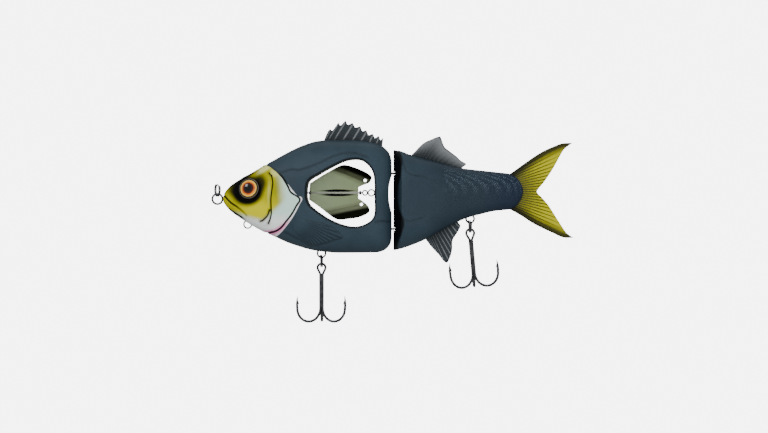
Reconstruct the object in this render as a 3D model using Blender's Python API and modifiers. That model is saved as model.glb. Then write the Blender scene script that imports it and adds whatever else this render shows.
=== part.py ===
"""Two-piece glide swimbait with a spinning blade in a window through its front body.

Metres, +X from nose to tail, +Z towards the back, +Y towards the fish's right side.
The origin is the centre of the fixed line eye on the nose.
"""

import math

import bmesh
import bpy
from mathutils import Matrix, Vector

MM = 0.001

# Overall sizes. The outlines further down are drawn in millimetres at the drawn sizes
# and stretched to these.
BODY_LENGTH = 0.2003
BODY_DEPTH = 0.0645
BODY_THICKNESS = 0.0288
DRAWN_LENGTH = 0.2003
DRAWN_DEPTH = 0.0645
DRAWN_THICKNESS = 0.0288

# Clearances.
SEAM_GAP = 0.0003
FIT_GAP = 0.0002
RUN_GAP = 0.0003
FACET_PHASE = 0.11

# Shells.
SHELL_WALL = 0.0022
SECTION_POWER = 2.35
SECTION_POINTS = 12

# Body joint: wire eyes on the front body turn on an upright pin in the rear body.
JOINT_LEAD = 0.0022
JOINT_SLOPE = 21.0
JOINT_SWING = 30.0
PIN_RADIUS = 0.00075
PIN_TOP = 19.0
PIN_BOTTOM = -22.0
HINGE_WIRE = 0.00055
HINGE_SHANK = 0.0105
HINGE_HEIGHTS = {"hinge_eye_upper": 14.6, "hinge_eye_lower": -17.1}

# Wire eyes and hangers: loop radius to the wire's centre, wire radius, shank length.
NOSE_EYE_LOOP = 0.0029
NOSE_EYE_WIRE = 0.0006
NOSE_EYE_SHANK = 0.010
CHIN_EYE_LOOP = 0.0022
CHIN_EYE_WIRE = 0.00045
CHIN_EYE_SHANK = 0.0065
CHIN_STATION = 17.8
CHIN_DROP = 0.0009
HANGER_LOOP = 0.0023
HANGER_WIRE = 0.00055
HANGER_SHANK = 0.0075
HANGER_DROP = 0.0010
FRONT_HANGER_STATION = 59.5
REAR_HANGER_STATION = 144.4
SHANK_SHARE = 0.9
ANCHOR_RADIUS = 0.0013
ANCHOR_LENGTH = 0.0012

# Split rings: two turns of round wire.
RING_RADIUS = 0.0033
RING_WIRE = 0.00038
RING_TURNS = 1.9
RING_PITCH = 0.0008
NOSE_RING_TURN = 22.0

# Treble hooks.
HOOK_WIRE = 0.00076
HOOK_LENGTH = 0.0336
HOOK_GAPE = 0.0149
HOOK_EYE_WIDTH = 0.00225
HOOK_EYE_HEIGHT = 0.0066
HOOK_POINT_RISE = 0.0155
HOOK_SWING = 50.0
REAR_HOOK_LEAN = 5.0

# Blade and its shaft.
SHAFT_HEIGHT = 3.54
SHAFT_WIRE = 0.0004
SHAFT_SOCKET = 0.0050
BLADE_SHEET = 0.0007
BLADE_BORE_GAP = 0.00015
SPINE_WALL = 0.0007
BEAD_RADIUS = 0.0012
BEAD_LENGTH = 0.0014
LINK_FRONT_LOOP = 0.00135
LINK_REAR_LOOP = 0.0018
BLADE_HOLE = 0.00085

# Eyes.
EYE_RADIUS = 0.0059
EYE_DEPTH = 0.0022
EYE_DOME = 0.0016
EYE_STATION = 19.0
EYE_HEIGHT = 5.8
EYE_TURN = 14.0
EYE_TILT = 12.0

# Soft fins.
FIN_THICKNESS = 0.0013
FIN_ROOT = 0.0030
TAIL_THICKNESS = 0.0016
TAIL_PIN_RADIUS = 0.0010
TAIL_PIN_LENGTH = 0.0056
TAIL_PIN_PLACE = (162.0, 4.4)

# Ballast slugs.
FRONT_BALLAST = (0.0036, 0.024)
FRONT_BALLAST_PLACE = (79.0, -23.2)
REAR_BALLAST = (0.0030, 0.012)
REAR_BALLAST_PLACE = (115.0, -13.6)

# Outlines in millimetres as drawn: (station, height) or (station, half thickness).
FRONT_TOP = ((3.3, 1.7), (5.4, 5.0), (8.4, 8.0), (15.3, 12.3), (22.1, 16.2), (29.0, 20.4),
             (35.8, 24.2), (42.7, 27.9), (49.5, 30.9), (56.4, 33.0), (63.0, 33.7), (75.8, 33.7),
             (87.3, 32.6), (93.5, 30.6), (97.4, 27.4), (99.0, 24.4), (99.6, 22.0))
FRONT_BOTTOM = ((3.3, -1.0), (5.2, -4.0), (8.4, -7.3), (13.5, -10.9), (22.7, -16.6), (33.0, -21.7),
                (42.7, -25.9), (57.0, -29.7), (70.1, -30.8), (90.7, -30.6), (94.8, -29.6),
                (97.8, -27.2), (99.1, -25.0), (99.6, -22.9))
FRONT_HALF = ((3.3, 2.5), (5.0, 3.8), (8.4, 5.4), (14.0, 7.8), (20.0, 9.6), (30.0, 11.8),
              (42.0, 13.4), (55.0, 14.2), (70.0, 14.4), (85.0, 13.7), (91.0, 12.8), (94.6, 11.6),
              (97.0, 9.9), (98.6, 7.8), (99.6, 5.6))
FRONT_STATIONS = (3.3, 4.2, 5.6, 8.4, 11.5, 15.3, 19.0, 23.0, 29.0, 35.8, 42.7, 49.5, 56.4, 63.0,
                  70.0, 76.0, 82.0, 87.3, 91.0, 94.0, 96.4, 98.0, 99.0, 99.6)
REAR_NOSE = 100.6
REAR_TOP = ((100.6, 28.2), (104.4, 27.5), (110.1, 25.4), (125.0, 21.4), (139.2, 17.7),
            (149.0, 16.5), (159.2, 15.4), (166.1, 14.6), (170.0, 12.9), (172.8, 10.1), (174.2, 7.0),
            (174.6, 5.4))
REAR_BOTTOM = ((100.6, -29.4), (104.4, -28.6), (111.3, -26.3), (118.5, -23.3), (128.0, -17.9),
               (136.7, -13.4), (142.5, -10.9), (149.0, -9.1), (158.6, -6.9), (166.6, -6.0),
               (170.4, -4.4), (173.0, -1.2), (174.2, 1.8), (174.6, 3.4))
REAR_HALF = ((109.0, 12.1), (120.0, 10.9), (130.0, 9.4), (140.0, 7.9), (150.0, 6.4),
             (160.0, 5.1), (167.0, 4.1), (172.0, 2.9), (174.6, 1.9))
REAR_STATIONS = (107.2, 110.1, 115.0, 120.0, 126.0, 132.0, 138.0, 144.0, 150.0, 156.0, 161.0,
                 166.0, 169.0, 171.4, 173.2, 174.2, 174.6)
REAR_NOSE_HALF = 1.0
JOINT_HALF = 12.2

WINDOW = ((52.4, 10.0), (58.3, 14.0), (64.1, 17.4), (71.8, 21.2), (77.6, 22.5), (82.6, 22.0),
          (86.6, 19.0), (89.0, 14.6), (89.8, 8.0), (89.8, 0.0), (89.8, -8.0), (87.5, -12.4),
          (81.3, -15.4), (74.1, -15.3), (64.1, -11.5), (54.4, -4.8), (51.9, -1.0), (51.3, 3.0))
REAR_EDGE_DIP = ((97.8, 2.9), 10.9)

# The blade, measured from its shaft's axis, then the fold of each wing: start, end, rise side.
BLADE_UPPER = ((53.9, 5.8), (67.0, 13.9), (71.3, 15.8), (75.3, 15.4), (81.3, 13.3), (86.0, 10.9),
               (88.0, 9.0), (87.7, 7.2), (86.2, 5.6), (82.1, 3.9), (80.6, 3.1))
BLADE_LOWER = ((80.6, -3.3), (82.1, -4.1), (85.3, -6.8), (86.9, -9.3), (86.0, -11.5),
               (81.3, -13.7), (75.3, -14.7), (68.4, -15.0), (62.1, -11.0), (53.9, -4.6))
WING_FOLDS = (((67.3, 12.6), (82.1, 6.6), 1.0), ((62.1, -10.6), (82.1, -6.6), -1.0))
WING_RISE = 0.75
WING_BEND = 0.09
BLADE_HOLES = ((84.4, 7.1), (82.3, -6.6))

DORSAL_BASE = (60.9, 94.3)
DORSAL_TIPS = ((64.4, 40.0), (69.2, 43.7), (73.3, 44.8), (77.5, 43.4), (81.8, 41.4), (85.3, 39.1),
               (89.0, 37.1), (92.4, 36.0), (94.8, 34.8))
DORSAL_WEB = (1.0, 1.9)
REAR_DORSAL_BASE = (111.0, 139.6)
REAR_DORSAL = ((112.8, 27.1), (117.5, 31.8), (122.6, 34.3), (126.4, 35.7), (127.7, 35.2),
               (129.7, 30.0), (132.7, 27.4), (136.6, 24.4), (139.0, 22.1), (142.2, 20.1),
               (141.2, 18.9), (139.6, 18.3))
ANAL_BASE = (118.9, 137.4)
ANAL_FIN = ((122.0, -27.0), (126.9, -32.4), (129.5, -35.7), (131.7, -36.0), (134.0, -30.0),
            (134.5, -23.6), (137.0, -19.4), (139.0, -15.3), (137.4, -13.7))
TAIL_ROOT = (158.6, 167.6)
TAIL_TENON = (8.6, -0.6)
TAIL_EDGE = ((167.6, 14.7), (177.5, 21.8), (185.5, 27.0), (193.5, 30.6), (197.5, 31.9),
             (202.9, 32.1), (198.4, 28.6), (196.0, 24.9), (192.7, 18.9), (189.5, 13.7),
             (186.4, 9.3), (182.9, 5.0), (183.1, 3.2), (185.5, 0.8), (189.5, -4.0), (193.5, -10.3),
             (196.8, -15.4), (199.6, -19.4), (203.6, -22.2), (197.5, -22.0), (191.6, -19.4),
             (185.5, -16.6), (179.6, -13.5), (173.5, -9.5), (167.6, -6.2))


# ---- Scene helpers ----

for old in list(bpy.data.objects):
    bpy.data.objects.remove(old)

PARTS = bpy.data.collections.new("swimbait")
CUTTERS = bpy.data.collections.new("cutters")
for collection in (PARTS, CUTTERS):
    bpy.context.scene.collection.children.link(collection)


def material(name, colour, roughness, metallic=0.0):
    """A plain Principled material."""
    made = bpy.data.materials.new(name)
    made.use_nodes = True
    shader = made.node_tree.nodes["Principled BSDF"]
    shader.inputs["Base Color"].default_value = (*colour, 1.0)
    shader.inputs["Roughness"].default_value = roughness
    shader.inputs["Metallic"].default_value = metallic
    return made


SLATE = material("slate_paint", (0.035, 0.055, 0.073), 0.5)
SOFT_GREY = material("soft_grey", (0.07, 0.075, 0.08), 0.45)
SOFT_YELLOW = material("soft_yellow", (0.55, 0.55, 0.02), 0.4)
NICKEL = material("dark_nickel", (0.11, 0.12, 0.125), 0.3, 1.0)
BRIGHT_WIRE = material("bright_wire", (0.35, 0.35, 0.36), 0.25, 1.0)
BLADE_METAL = material("blade_metal", (0.25, 0.27, 0.18), 0.2, 1.0)
EYE_LENS = material("eye_lens", (0.6, 0.25, 0.03), 0.15)
LEAD = material("ballast_lead", (0.2, 0.2, 0.21), 0.5, 1.0)


def add_object(name, mesh, surface):
    """Links a finished mesh as one named part; without a surface it becomes a cutter."""
    made = bpy.data.objects.new(name, mesh)
    if surface:
        mesh.materials.append(surface)
        PARTS.objects.link(made)
    else:
        CUTTERS.objects.link(made)
        made.hide_render = True
        made.display_type = "WIRE"
    return made


def finish(bm, name, surface, smooth=True):
    """Turns a bmesh into an object with its faces outwards."""
    bmesh.ops.recalc_face_normals(bm, faces=bm.faces)
    mesh = bpy.data.meshes.new(name)
    bm.to_mesh(mesh)
    bm.free()
    if smooth and surface:
        mesh.shade_smooth()
        mesh.set_sharp_from_angle(angle=math.radians(35.0))
    return add_object(name, mesh, surface)


def combine(target, other, operation="DIFFERENCE"):
    """Cuts a part with a cutter, or joins a helper solid to it."""
    step = target.modifiers.new(operation.lower() + "_" + other.name, "BOOLEAN")
    step.operation = operation
    step.solver = "EXACT"
    step.object = other


def from_curve(data, name, surface, place):
    """Makes a curve's evaluated shape a welded mesh object."""
    holder = bpy.data.objects.new(name + "_curve", data)
    bpy.context.scene.collection.objects.link(holder)
    holder.matrix_world = place
    bpy.context.view_layer.update()
    shape = holder.evaluated_get(bpy.context.evaluated_depsgraph_get())
    mesh = bpy.data.meshes.new_from_object(shape)
    bm = bmesh.new()
    bm.from_mesh(mesh)
    bmesh.ops.transform(bm, matrix=place, verts=bm.verts)
    bmesh.ops.remove_doubles(bm, verts=bm.verts, dist=0.01 * MM)
    bpy.data.objects.remove(holder)
    mesh.materials.clear()
    return finish(bm, name, surface)


UPRIGHT = Matrix.Rotation(math.radians(90.0), 4, "X")


def plate(name, outline, thickness, surface, place=UPRIGHT):
    """A flat outline of (x, z) points with half its thickness on each side of the centre plane."""
    data = bpy.data.curves.new(name, "CURVE")
    data.dimensions = "2D"
    data.fill_mode = "BOTH"
    data.extrude = thickness / 2
    spline = data.splines.new("POLY")
    spline.points.add(len(outline) - 1)
    for point, (x, z) in zip(spline.points, outline):
        point.co = (x, z, 0.0, 1.0)
    spline.use_cyclic_u = True
    return from_curve(data, name, surface, place)


def tube(name, points, radius, surface, sizes=None, closed=False):
    """A round wire through the points; sizes scales the wire at each point."""
    data = bpy.data.curves.new(name, "CURVE")
    data.dimensions = "3D"
    data.bevel_depth = radius
    data.bevel_resolution = 2
    data.use_fill_caps = True
    spline = data.splines.new("POLY")
    spline.points.add(len(points) - 1)
    for index, place in enumerate(points):
        spline.points[index].co = (*place, 1.0)
        spline.points[index].radius = sizes[index] if sizes else 1.0
    spline.use_cyclic_u = closed
    return from_curve(data, name, surface, Matrix.Identity(4))


def rod(name, start, end, radius, surface, sides=12):
    """A straight round bar between two points."""
    start, end = Vector(start), Vector(end)
    run = end - start
    turn = run.to_track_quat("Z", "Y").to_matrix().to_4x4() @ Matrix.Rotation(FACET_PHASE, 4, "Z")
    bm = bmesh.new()
    bmesh.ops.create_cone(bm, cap_ends=True, segments=sides, radius1=radius, radius2=radius,
                          depth=run.length, matrix=Matrix.Translation((start + end) / 2) @ turn)
    return finish(bm, name, surface)


def block(name, low, high, surface=None):
    """A box between two corners."""
    low, high = Vector(low), Vector(high)
    size = Matrix.Diagonal((*(high - low), 1.0))
    bm = bmesh.new()
    bmesh.ops.create_cube(bm, size=1.0, matrix=Matrix.Translation((low + high) / 2) @ size)
    return finish(bm, name, surface, smooth=False)


# ---- Outline helpers ----

def along(station):
    """A drawn station as a real distance from the line eye."""
    return station * MM * BODY_LENGTH / DRAWN_LENGTH


def up(height):
    """A drawn height as a real height."""
    return height * MM * BODY_DEPTH / DRAWN_DEPTH


def across(half):
    """A drawn half thickness as a real one."""
    return half * MM * BODY_THICKNESS / DRAWN_THICKNESS


def smooth_value(points, x):
    """A monotone cubic through (x, value) points, flat at each turning point."""
    if x <= points[0][0]:
        return points[0][1]
    if x >= points[-1][0]:
        return points[-1][1]
    steps = [(b[1] - a[1]) / (b[0] - a[0]) for a, b in zip(points, points[1:])]
    index = next(i for i, b in enumerate(points[1:]) if x <= b[0])

    def slope(i):
        if i == 0:
            return steps[0]
        if i == len(steps):
            return steps[-1]
        before, after = steps[i - 1], steps[i]
        return 0.0 if before * after <= 0 else 2 * before * after / (before + after)

    (x0, v0), (x1, v1) = points[index], points[index + 1]
    width = x1 - x0
    t = (x - x0) / width
    start, end = slope(index) * width, slope(index + 1) * width
    return (v0 * (1 + 2 * t) * (1 - t) ** 2 + start * t * (1 - t) ** 2
            + v1 * t * t * (3 - 2 * t) + end * t * t * (t - 1))


def smooth_loop(points, steps):
    """A closed curve through the points, with so many steps between each pair."""
    count = len(points)
    loop = []
    for index in range(count):
        a, b, c, d = (Vector(points[(index + shift) % count]) for shift in (-1, 0, 1, 2))
        for step in range(steps):
            t = step / steps
            loop.append(0.5 * (2 * b + (c - a) * t + (2 * a - 5 * b + 4 * c - d) * t * t
                               + (3 * b - a - 3 * c + d) * t * t * t))
    return [tuple(point) for point in loop]


def grown(outline, amount):
    """A closed outline moved outwards by an amount along its normals."""
    area = sum(a[0] * b[1] - b[0] * a[1] for a, b in zip(outline, outline[1:] + outline[:1]))
    side = 1.0 if area > 0 else -1.0
    result = []
    for index, (x, z) in enumerate(outline):
        before, after = Vector(outline[index - 1]), Vector(outline[(index + 1) % len(outline)])
        run = (after - before).normalized()
        result.append((x + side * amount * run.y, z - side * amount * run.x))
    return result


def real(points):
    """Drawn (station, height) points as real ones."""
    return [(along(x), up(z)) for x, z in points]


# ---- Body shells ----

def rear_half_thickness(station):
    """The rear body's half thickness: a blunt wedge at the joint, then the fish's taper."""
    wedge = REAR_NOSE_HALF + (station - REAR_NOSE) / math.tan(math.radians(JOINT_SLOPE))
    return min(wedge, JOINT_HALF, smooth_value(REAR_HALF, max(station, REAR_HALF[0][0])))


def front_half_thickness(station):
    return smooth_value(FRONT_HALF, station)


FRONT = (FRONT_TOP, FRONT_BOTTOM, front_half_thickness)
REAR = (REAR_TOP, REAR_BOTTOM, rear_half_thickness)


def section(body, station, inset=0.0):
    """Half a rounded section as (y, z) from the back down to the belly, y outwards."""
    top_line, bottom_line, half_thickness = body
    top = up(smooth_value(top_line, station)) - inset
    bottom = up(smooth_value(bottom_line, station)) + inset
    half = across(half_thickness(station)) - inset
    points = []
    for index in range(SECTION_POINTS + 1):
        angle = math.pi / 2 - math.pi * index / SECTION_POINTS
        out = half * max(math.cos(angle), 0.0) ** (2 / SECTION_POWER)
        rise = abs(math.sin(angle)) ** (2 / SECTION_POWER) * (top - bottom) / 2
        points.append((out, (top + bottom) / 2 + math.copysign(rise, math.sin(angle))))
    points[0] = (0.0, top)
    points[-1] = (0.0, bottom)
    return points


def side_point(body, station, height):
    """How far out the body's side is at a drawn station and a drawn height."""
    points = section(body, station)
    for (y0, z0), (y1, z1) in zip(points, points[1:]):
        if z1 <= up(height) <= z0:
            return y0 + (y1 - y0) * (z0 - up(height)) / (z0 - z1)
    return 0.0


def loft(name, rings, surface):
    """A closed solid through rings that have the same number of points."""
    bm = bmesh.new()
    loops = [[bm.verts.new(point) for point in ring] for ring in rings]
    for first, second in zip(loops, loops[1:]):
        for index in range(len(first)):
            after = (index + 1) % len(first)
            bm.faces.new((first[index], first[after], second[after], second[index]))
    bm.faces.new(loops[0])
    bm.faces.new(loops[-1])
    return finish(bm, name, surface)


def half_shell(name, body, stations, side):
    """One side of a body as a solid, flat at the seam."""
    seam = SEAM_GAP / 2
    rings = []
    for station in stations:
        points = section(body, station)
        widest = max(y for y, z in points)
        share = (widest - seam) / widest
        rings.append([(along(station), side * (seam + y * share), z) for y, z in points])
    return loft(name, rings, SLATE)


def chamber(name, body, stations):
    """The hollow inside a body: its sections less the wall, on both sides of the seam."""
    rings = []
    for station in stations:
        points = section(body, station, SHELL_WALL)
        ring = [(along(station), y, z) for y, z in points]
        ring += [(along(station), -y, z) for y, z in reversed(points[1:-1])]
        rings.append(ring)
    return loft(name, rings, None)


rear_stations = [REAR_NOSE + step for step in (0.0, 0.6, 1.4, 2.4, 3.4, 4.3)] + list(REAR_STATIONS)
front_shells = [half_shell("front_shell_left", FRONT, FRONT_STATIONS, -1.0),
                half_shell("front_shell_right", FRONT, FRONT_STATIONS, 1.0)]
rear_shells = [half_shell("rear_shell_left", REAR, rear_stations, -1.0),
               half_shell("rear_shell_right", REAR, rear_stations, 1.0)]


def cut_all(shells, cutter):
    for shell in shells:
        combine(shell, cutter)


# ---- Window, and the hollows of both bodies ----

window = smooth_loop(real(WINDOW), 3)
across_body = 2 * BODY_THICKNESS
window_cut = plate("window_cut", window, across_body, None)
window_wall = plate("window_wall", grown(window, SHELL_WALL), across_body, None)
front_chamber = chamber("front_chamber", FRONT, (28.0, 32.0, 37.0, 42.0, 47.0, 52.0, 57.0))
combine(front_chamber, window_wall)
rear_chamber = chamber("rear_chamber", REAR, (109.5, 114.0, 119.0, 124.0, 129.0, 134.0))

shaft_z = up(SHAFT_HEIGHT)
window_front = min(x for x, z in window)
window_back = max(x for x, z in window)
socket_boss = block("socket_boss", (window_front - SHAFT_SOCKET - 0.002, -across_body, shaft_z - 0.003),
                    (window_front + 0.001, across_body, shaft_z + 0.003))
combine(front_chamber, socket_boss)
rear_seat = real([REAR_BALLAST_PLACE])[0]
rear_seat_block = block("rear_seat_block", (along(100.0), -across_body, -BODY_DEPTH),
                        (along(140.0), across_body, rear_seat[1] + REAR_BALLAST[0] + 0.001))
combine(rear_chamber, rear_seat_block)
cut_all(front_shells, window_cut)
cut_all(front_shells, front_chamber)
cut_all(rear_shells, rear_chamber)

# The front body's rear edge dips forwards between the two hinge eyes.
(dip_x, dip_z), dip_half = REAR_EDGE_DIP
dip = []
for step in range(-4, 5):
    share = step / 4
    dip.append((along(dip_x + 1.9 * share * share), up(dip_z + dip_half * share)))
dip += [(along(104.0), up(dip_z + dip_half)), (along(104.0), up(dip_z - dip_half))]
cut_all(front_shells, plate("dip_cut", dip, across_body, None))


# ---- Wire eyes ----

def torus(name, centre, normal, radius, wire, surface=None, steps=20):
    """A closed wire loop around a normal."""
    turn = Vector(normal).to_track_quat("Z", "Y").to_matrix()
    points = []
    for step in range(steps):
        angle = 2 * math.pi * step / steps
        points.append(Vector(centre) + turn @ Vector((math.cos(angle), math.sin(angle), 0.0)) * radius)
    return tube(name, points, wire, surface, closed=True)


def wire_eye(name, centre, normal, inward, radius, wire, shank, shells, surface=BRIGHT_WIRE):
    """A closed eye with a shank and an anchor collar, and their seats in the shells."""
    centre, inward = Vector(centre), Vector(inward).normalized()
    eye = torus(name, centre, normal, radius, wire, surface)
    start = centre + inward * radius
    end = start + inward * shank
    collar = end - inward * ANCHOR_LENGTH
    combine(eye, rod(name + "_shank", start, end, SHANK_SHARE * wire, None, 10), "UNION")
    combine(eye, rod(name + "_anchor", collar, end - inward * 0.0001, ANCHOR_RADIUS, None, 12), "UNION")
    cut_all(shells, rod(name + "_channel", start, end + inward * FIT_GAP, wire + FIT_GAP, None, 8))
    cut_all(shells, rod(name + "_seat", collar - inward * FIT_GAP, end + inward * FIT_GAP,
                        ANCHOR_RADIUS + FIT_GAP, None, 12))
    return eye


def clear_loop(name, centre, normal, radius, wire, shells):
    """Opens the shells around the part of an eye that dips into them."""
    reach = Vector(normal).normalized() * (wire + RUN_GAP)
    centre = Vector(centre)
    cut_all(shells, rod(name + "_saddle", centre - reach, centre + reach,
                        radius + wire + FIT_GAP, None, 24))


FACE_ON = (0.0, 1.0, 0.0)
wire_eye("nose_eye", (0.0, 0.0, 0.0), FACE_ON, (1.0, 0.0, 0.0), NOSE_EYE_LOOP, NOSE_EYE_WIRE,
         NOSE_EYE_SHANK, front_shells)
clear_loop("nose_eye", (0.0, 0.0, 0.0), FACE_ON, NOSE_EYE_LOOP, NOSE_EYE_WIRE, front_shells)

chin_slope = Vector((5.1 * BODY_LENGTH / DRAWN_LENGTH, 0.0, -3.2 * BODY_DEPTH / DRAWN_DEPTH))
chin_inward = Vector((-chin_slope.z, 0.0, chin_slope.x)).normalized()
chin_centre = Vector((along(CHIN_STATION), 0.0, up(smooth_value(FRONT_BOTTOM, CHIN_STATION))))
chin_centre -= chin_inward * CHIN_DROP
wire_eye("chin_eye", chin_centre, FACE_ON, chin_inward, CHIN_EYE_LOOP, CHIN_EYE_WIRE,
         CHIN_EYE_SHANK, front_shells)
clear_loop("chin_eye", chin_centre, FACE_ON, CHIN_EYE_LOOP, CHIN_EYE_WIRE, front_shells)


def hanger(name, body, station, shells):
    """A hook hanger under a body; returns its loop's centre."""
    bottom = up(smooth_value(body[1], station))
    centre = Vector((along(station), 0.0, bottom - HANGER_DROP))
    wire_eye(name, centre, FACE_ON, (0.0, 0.0, 1.0), HANGER_LOOP, HANGER_WIRE, HANGER_SHANK, shells)
    clear_loop(name, centre, FACE_ON, HANGER_LOOP, HANGER_WIRE, shells)
    return centre


front_hanger = hanger("belly_hanger", FRONT, FRONT_HANGER_STATION, front_shells)
rear_hanger = hanger("rear_hanger", REAR, REAR_HANGER_STATION, rear_shells)


# ---- Body joint ----

joint_x = along(REAR_NOSE) + JOINT_LEAD
hinge_loop = PIN_RADIUS + RUN_GAP / 2 + HINGE_WIRE
eye_outer = hinge_loop + HINGE_WIRE + RUN_GAP
mouth = JOINT_LEAD + 0.0035
flare = HINGE_WIRE + RUN_GAP + mouth * math.tan(math.radians(JOINT_SWING + 3.0))
for name, height in HINGE_HEIGHTS.items():
    level = up(height)
    wire_eye(name, (joint_x, 0.0, level), (0.0, 0.0, 1.0), (-1.0, 0.0, 0.0), hinge_loop, HINGE_WIRE,
             HINGE_SHANK, front_shells)
    pocket = []
    for step in range(9):
        angle = math.radians(-90.0 + 180.0 * step / 8)
        pocket.append((joint_x + eye_outer * math.cos(angle), eye_outer * math.sin(angle)))
    pocket += [(joint_x - mouth, flare), (joint_x - mouth, -flare)]
    depth = 2 * HINGE_WIRE + 2 * RUN_GAP
    cut_all(rear_shells, plate(name + "_pocket", pocket, depth, None,
                               Matrix.Translation((0.0, 0.0, level))))
    notch = HINGE_WIRE + RUN_GAP
    notch_x = along(REAR_NOSE) - FIT_GAP
    cut_all(rear_shells, rod(name + "_notch", (notch_x, -across_body, level),
                             (notch_x, across_body, level), notch, None, 16))

rod("hinge_pin", (joint_x, 0.0, up(PIN_BOTTOM)), (joint_x, 0.0, up(PIN_TOP)), PIN_RADIUS, BRIGHT_WIRE, 16)
cut_all(rear_shells, rod("pin_channel", (joint_x, 0.0, up(PIN_BOTTOM) - FIT_GAP),
                         (joint_x, 0.0, up(PIN_TOP) + FIT_GAP), PIN_RADIUS + FIT_GAP, None, 16))


# ---- Split rings ----

def split_ring(name, centre, turn):
    """Two turns of wire around the turned X axis."""
    steps = int(RING_TURNS * 20)
    points = []
    for step in range(steps + 1):
        angle = 2 * math.pi * RING_TURNS * step / steps
        advance = RING_PITCH * RING_TURNS * (step / steps - 0.5)
        local = Vector((advance, RING_RADIUS * math.sin(angle), RING_RADIUS * math.cos(angle)))
        points.append(Vector(centre) + turn @ local)
    return tube(name, points, RING_WIRE, BRIGHT_WIRE)


ring_half = RING_WIRE + RING_PITCH * RING_TURNS / 4
nose_ring_z = NOSE_EYE_LOOP - NOSE_EYE_WIRE - RUN_GAP - RING_WIRE + RING_RADIUS
split_ring("nose_ring", (0.0, 0.0, nose_ring_z), Matrix.Rotation(math.radians(NOSE_RING_TURN), 3, "Z"))


def hung_ring(name, loop_centre):
    """A split ring hanging in a hanger; returns the centre of its lowest wire."""
    top_wire = loop_centre.z - HANGER_LOOP + HANGER_WIRE + RUN_GAP + RING_WIRE
    centre = Vector((loop_centre.x, 0.0, top_wire - RING_RADIUS))
    split_ring(name, centre, Matrix.Identity(3))
    return centre - Vector((0.0, 0.0, RING_RADIUS))


front_ring_low = hung_ring("front_split_ring", front_hanger)
rear_ring_low = hung_ring("rear_split_ring", rear_hanger)


# ---- Treble hooks ----

def hook_arm(name, heading, surface):
    """One shank, bend and point, with z = 0 at the eye's top wire and the shank going down."""
    lean = HOOK_WIRE * 0.95
    shank_top = -HOOK_EYE_HEIGHT + 0.0010
    bend_out = HOOK_GAPE / 2
    bend_down = HOOK_LENGTH - HOOK_WIRE - bend_out * 1.02
    profile = [(lean, shank_top), (lean, -0.5 * (bend_down - shank_top)), (lean, -bend_down * 0.86)]
    for step in range(11):
        angle = math.pi * step / 10
        profile.append((lean + bend_out * (1 - math.cos(angle)),
                        -bend_down - bend_out * 1.02 * math.sin(angle)))
    out = lean + HOOK_GAPE
    tip = -HOOK_LENGTH + HOOK_POINT_RISE
    profile += [(out + 0.0002, tip - 0.0045), (out + 0.0001, tip - 0.0022), (out - 0.0004, tip)]
    sizes = [1.0] * (len(profile) - 3) + [0.95, 0.6, 0.12]
    direction = Vector((math.cos(heading), math.sin(heading), 0.0))
    points = [direction * r + Vector((0.0, 0.0, z)) for r, z in profile]
    return tube(name, points, HOOK_WIRE, surface, sizes=sizes)


def treble(name, ring_low, lean_degrees):
    """A treble hook hanging on a ring's lowest wire, leaned about the cross axis."""
    eye = []
    for step in range(15):
        angle = math.radians(-30.0 + 240.0 * step / 14)
        eye.append(Vector((HOOK_EYE_WIDTH * math.cos(angle), 0.0,
                           HOOK_EYE_WIDTH * (math.sin(angle) - 1.0))))
    eye.append(Vector((-0.5 * HOOK_WIRE, 0.0, -HOOK_EYE_HEIGHT)))
    eye.append(Vector((0.5 * HOOK_WIRE, 0.0, -HOOK_EYE_HEIGHT)))
    hook = tube(name, eye, HOOK_WIRE * 0.92, NICKEL, closed=True)
    parts = [hook]
    for index in range(3):
        heading = math.radians(90.0 + 120.0 * index)
        arm = hook_arm(name + "_arm" + str(index), heading, None)
        combine(hook, arm, "UNION")
        parts.append(arm)
    swing_room = ring_half * math.sin(math.radians(HOOK_SWING)) + RING_WIRE
    top_wire = Vector((0.0, 0.0, swing_room + HOOK_WIRE))
    place = (Matrix.Translation(ring_low)
             @ Matrix.Rotation(math.radians(-lean_degrees), 4, "Y")
             @ Matrix.Translation(top_wire))
    for part in parts:
        part.matrix_world = place
    return hook


treble("front_hook", front_ring_low, 0.0)
treble("rear_hook", rear_ring_low, REAR_HOOK_LEAN)


# ---- Shaft, blade and beads ----

bead_gap = RUN_GAP
blade_front = along(BLADE_UPPER[0][0])
blade_back = along(BLADE_UPPER[-1][0])
link_front_x = blade_back + bead_gap + BEAD_LENGTH + bead_gap + LINK_FRONT_LOOP + SHAFT_WIRE
link_rear_x = link_front_x + LINK_FRONT_LOOP + LINK_REAR_LOOP + 1.2 * SHAFT_WIRE
shaft_start = window_front - SHAFT_SOCKET
shaft_end = window_back + SHAFT_SOCKET
shaft = rod("prop_shaft", (shaft_start, 0.0, shaft_z), (link_front_x - LINK_FRONT_LOOP, 0.0, shaft_z),
            SHANK_SHARE * SHAFT_WIRE, BRIGHT_WIRE, 10)
combine(shaft, torus("link_front", (link_front_x, 0.0, shaft_z), FACE_ON, LINK_FRONT_LOOP, SHAFT_WIRE),
        "UNION")
combine(shaft, torus("link_rear", (link_rear_x, 0.0, shaft_z), FACE_ON, LINK_REAR_LOOP, SHAFT_WIRE), "UNION")
combine(shaft, rod("shaft_tail", (link_rear_x + LINK_REAR_LOOP, 0.0, shaft_z), (shaft_end, 0.0, shaft_z),
                   SHANK_SHARE * SHAFT_WIRE, None, 10), "UNION")
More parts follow.
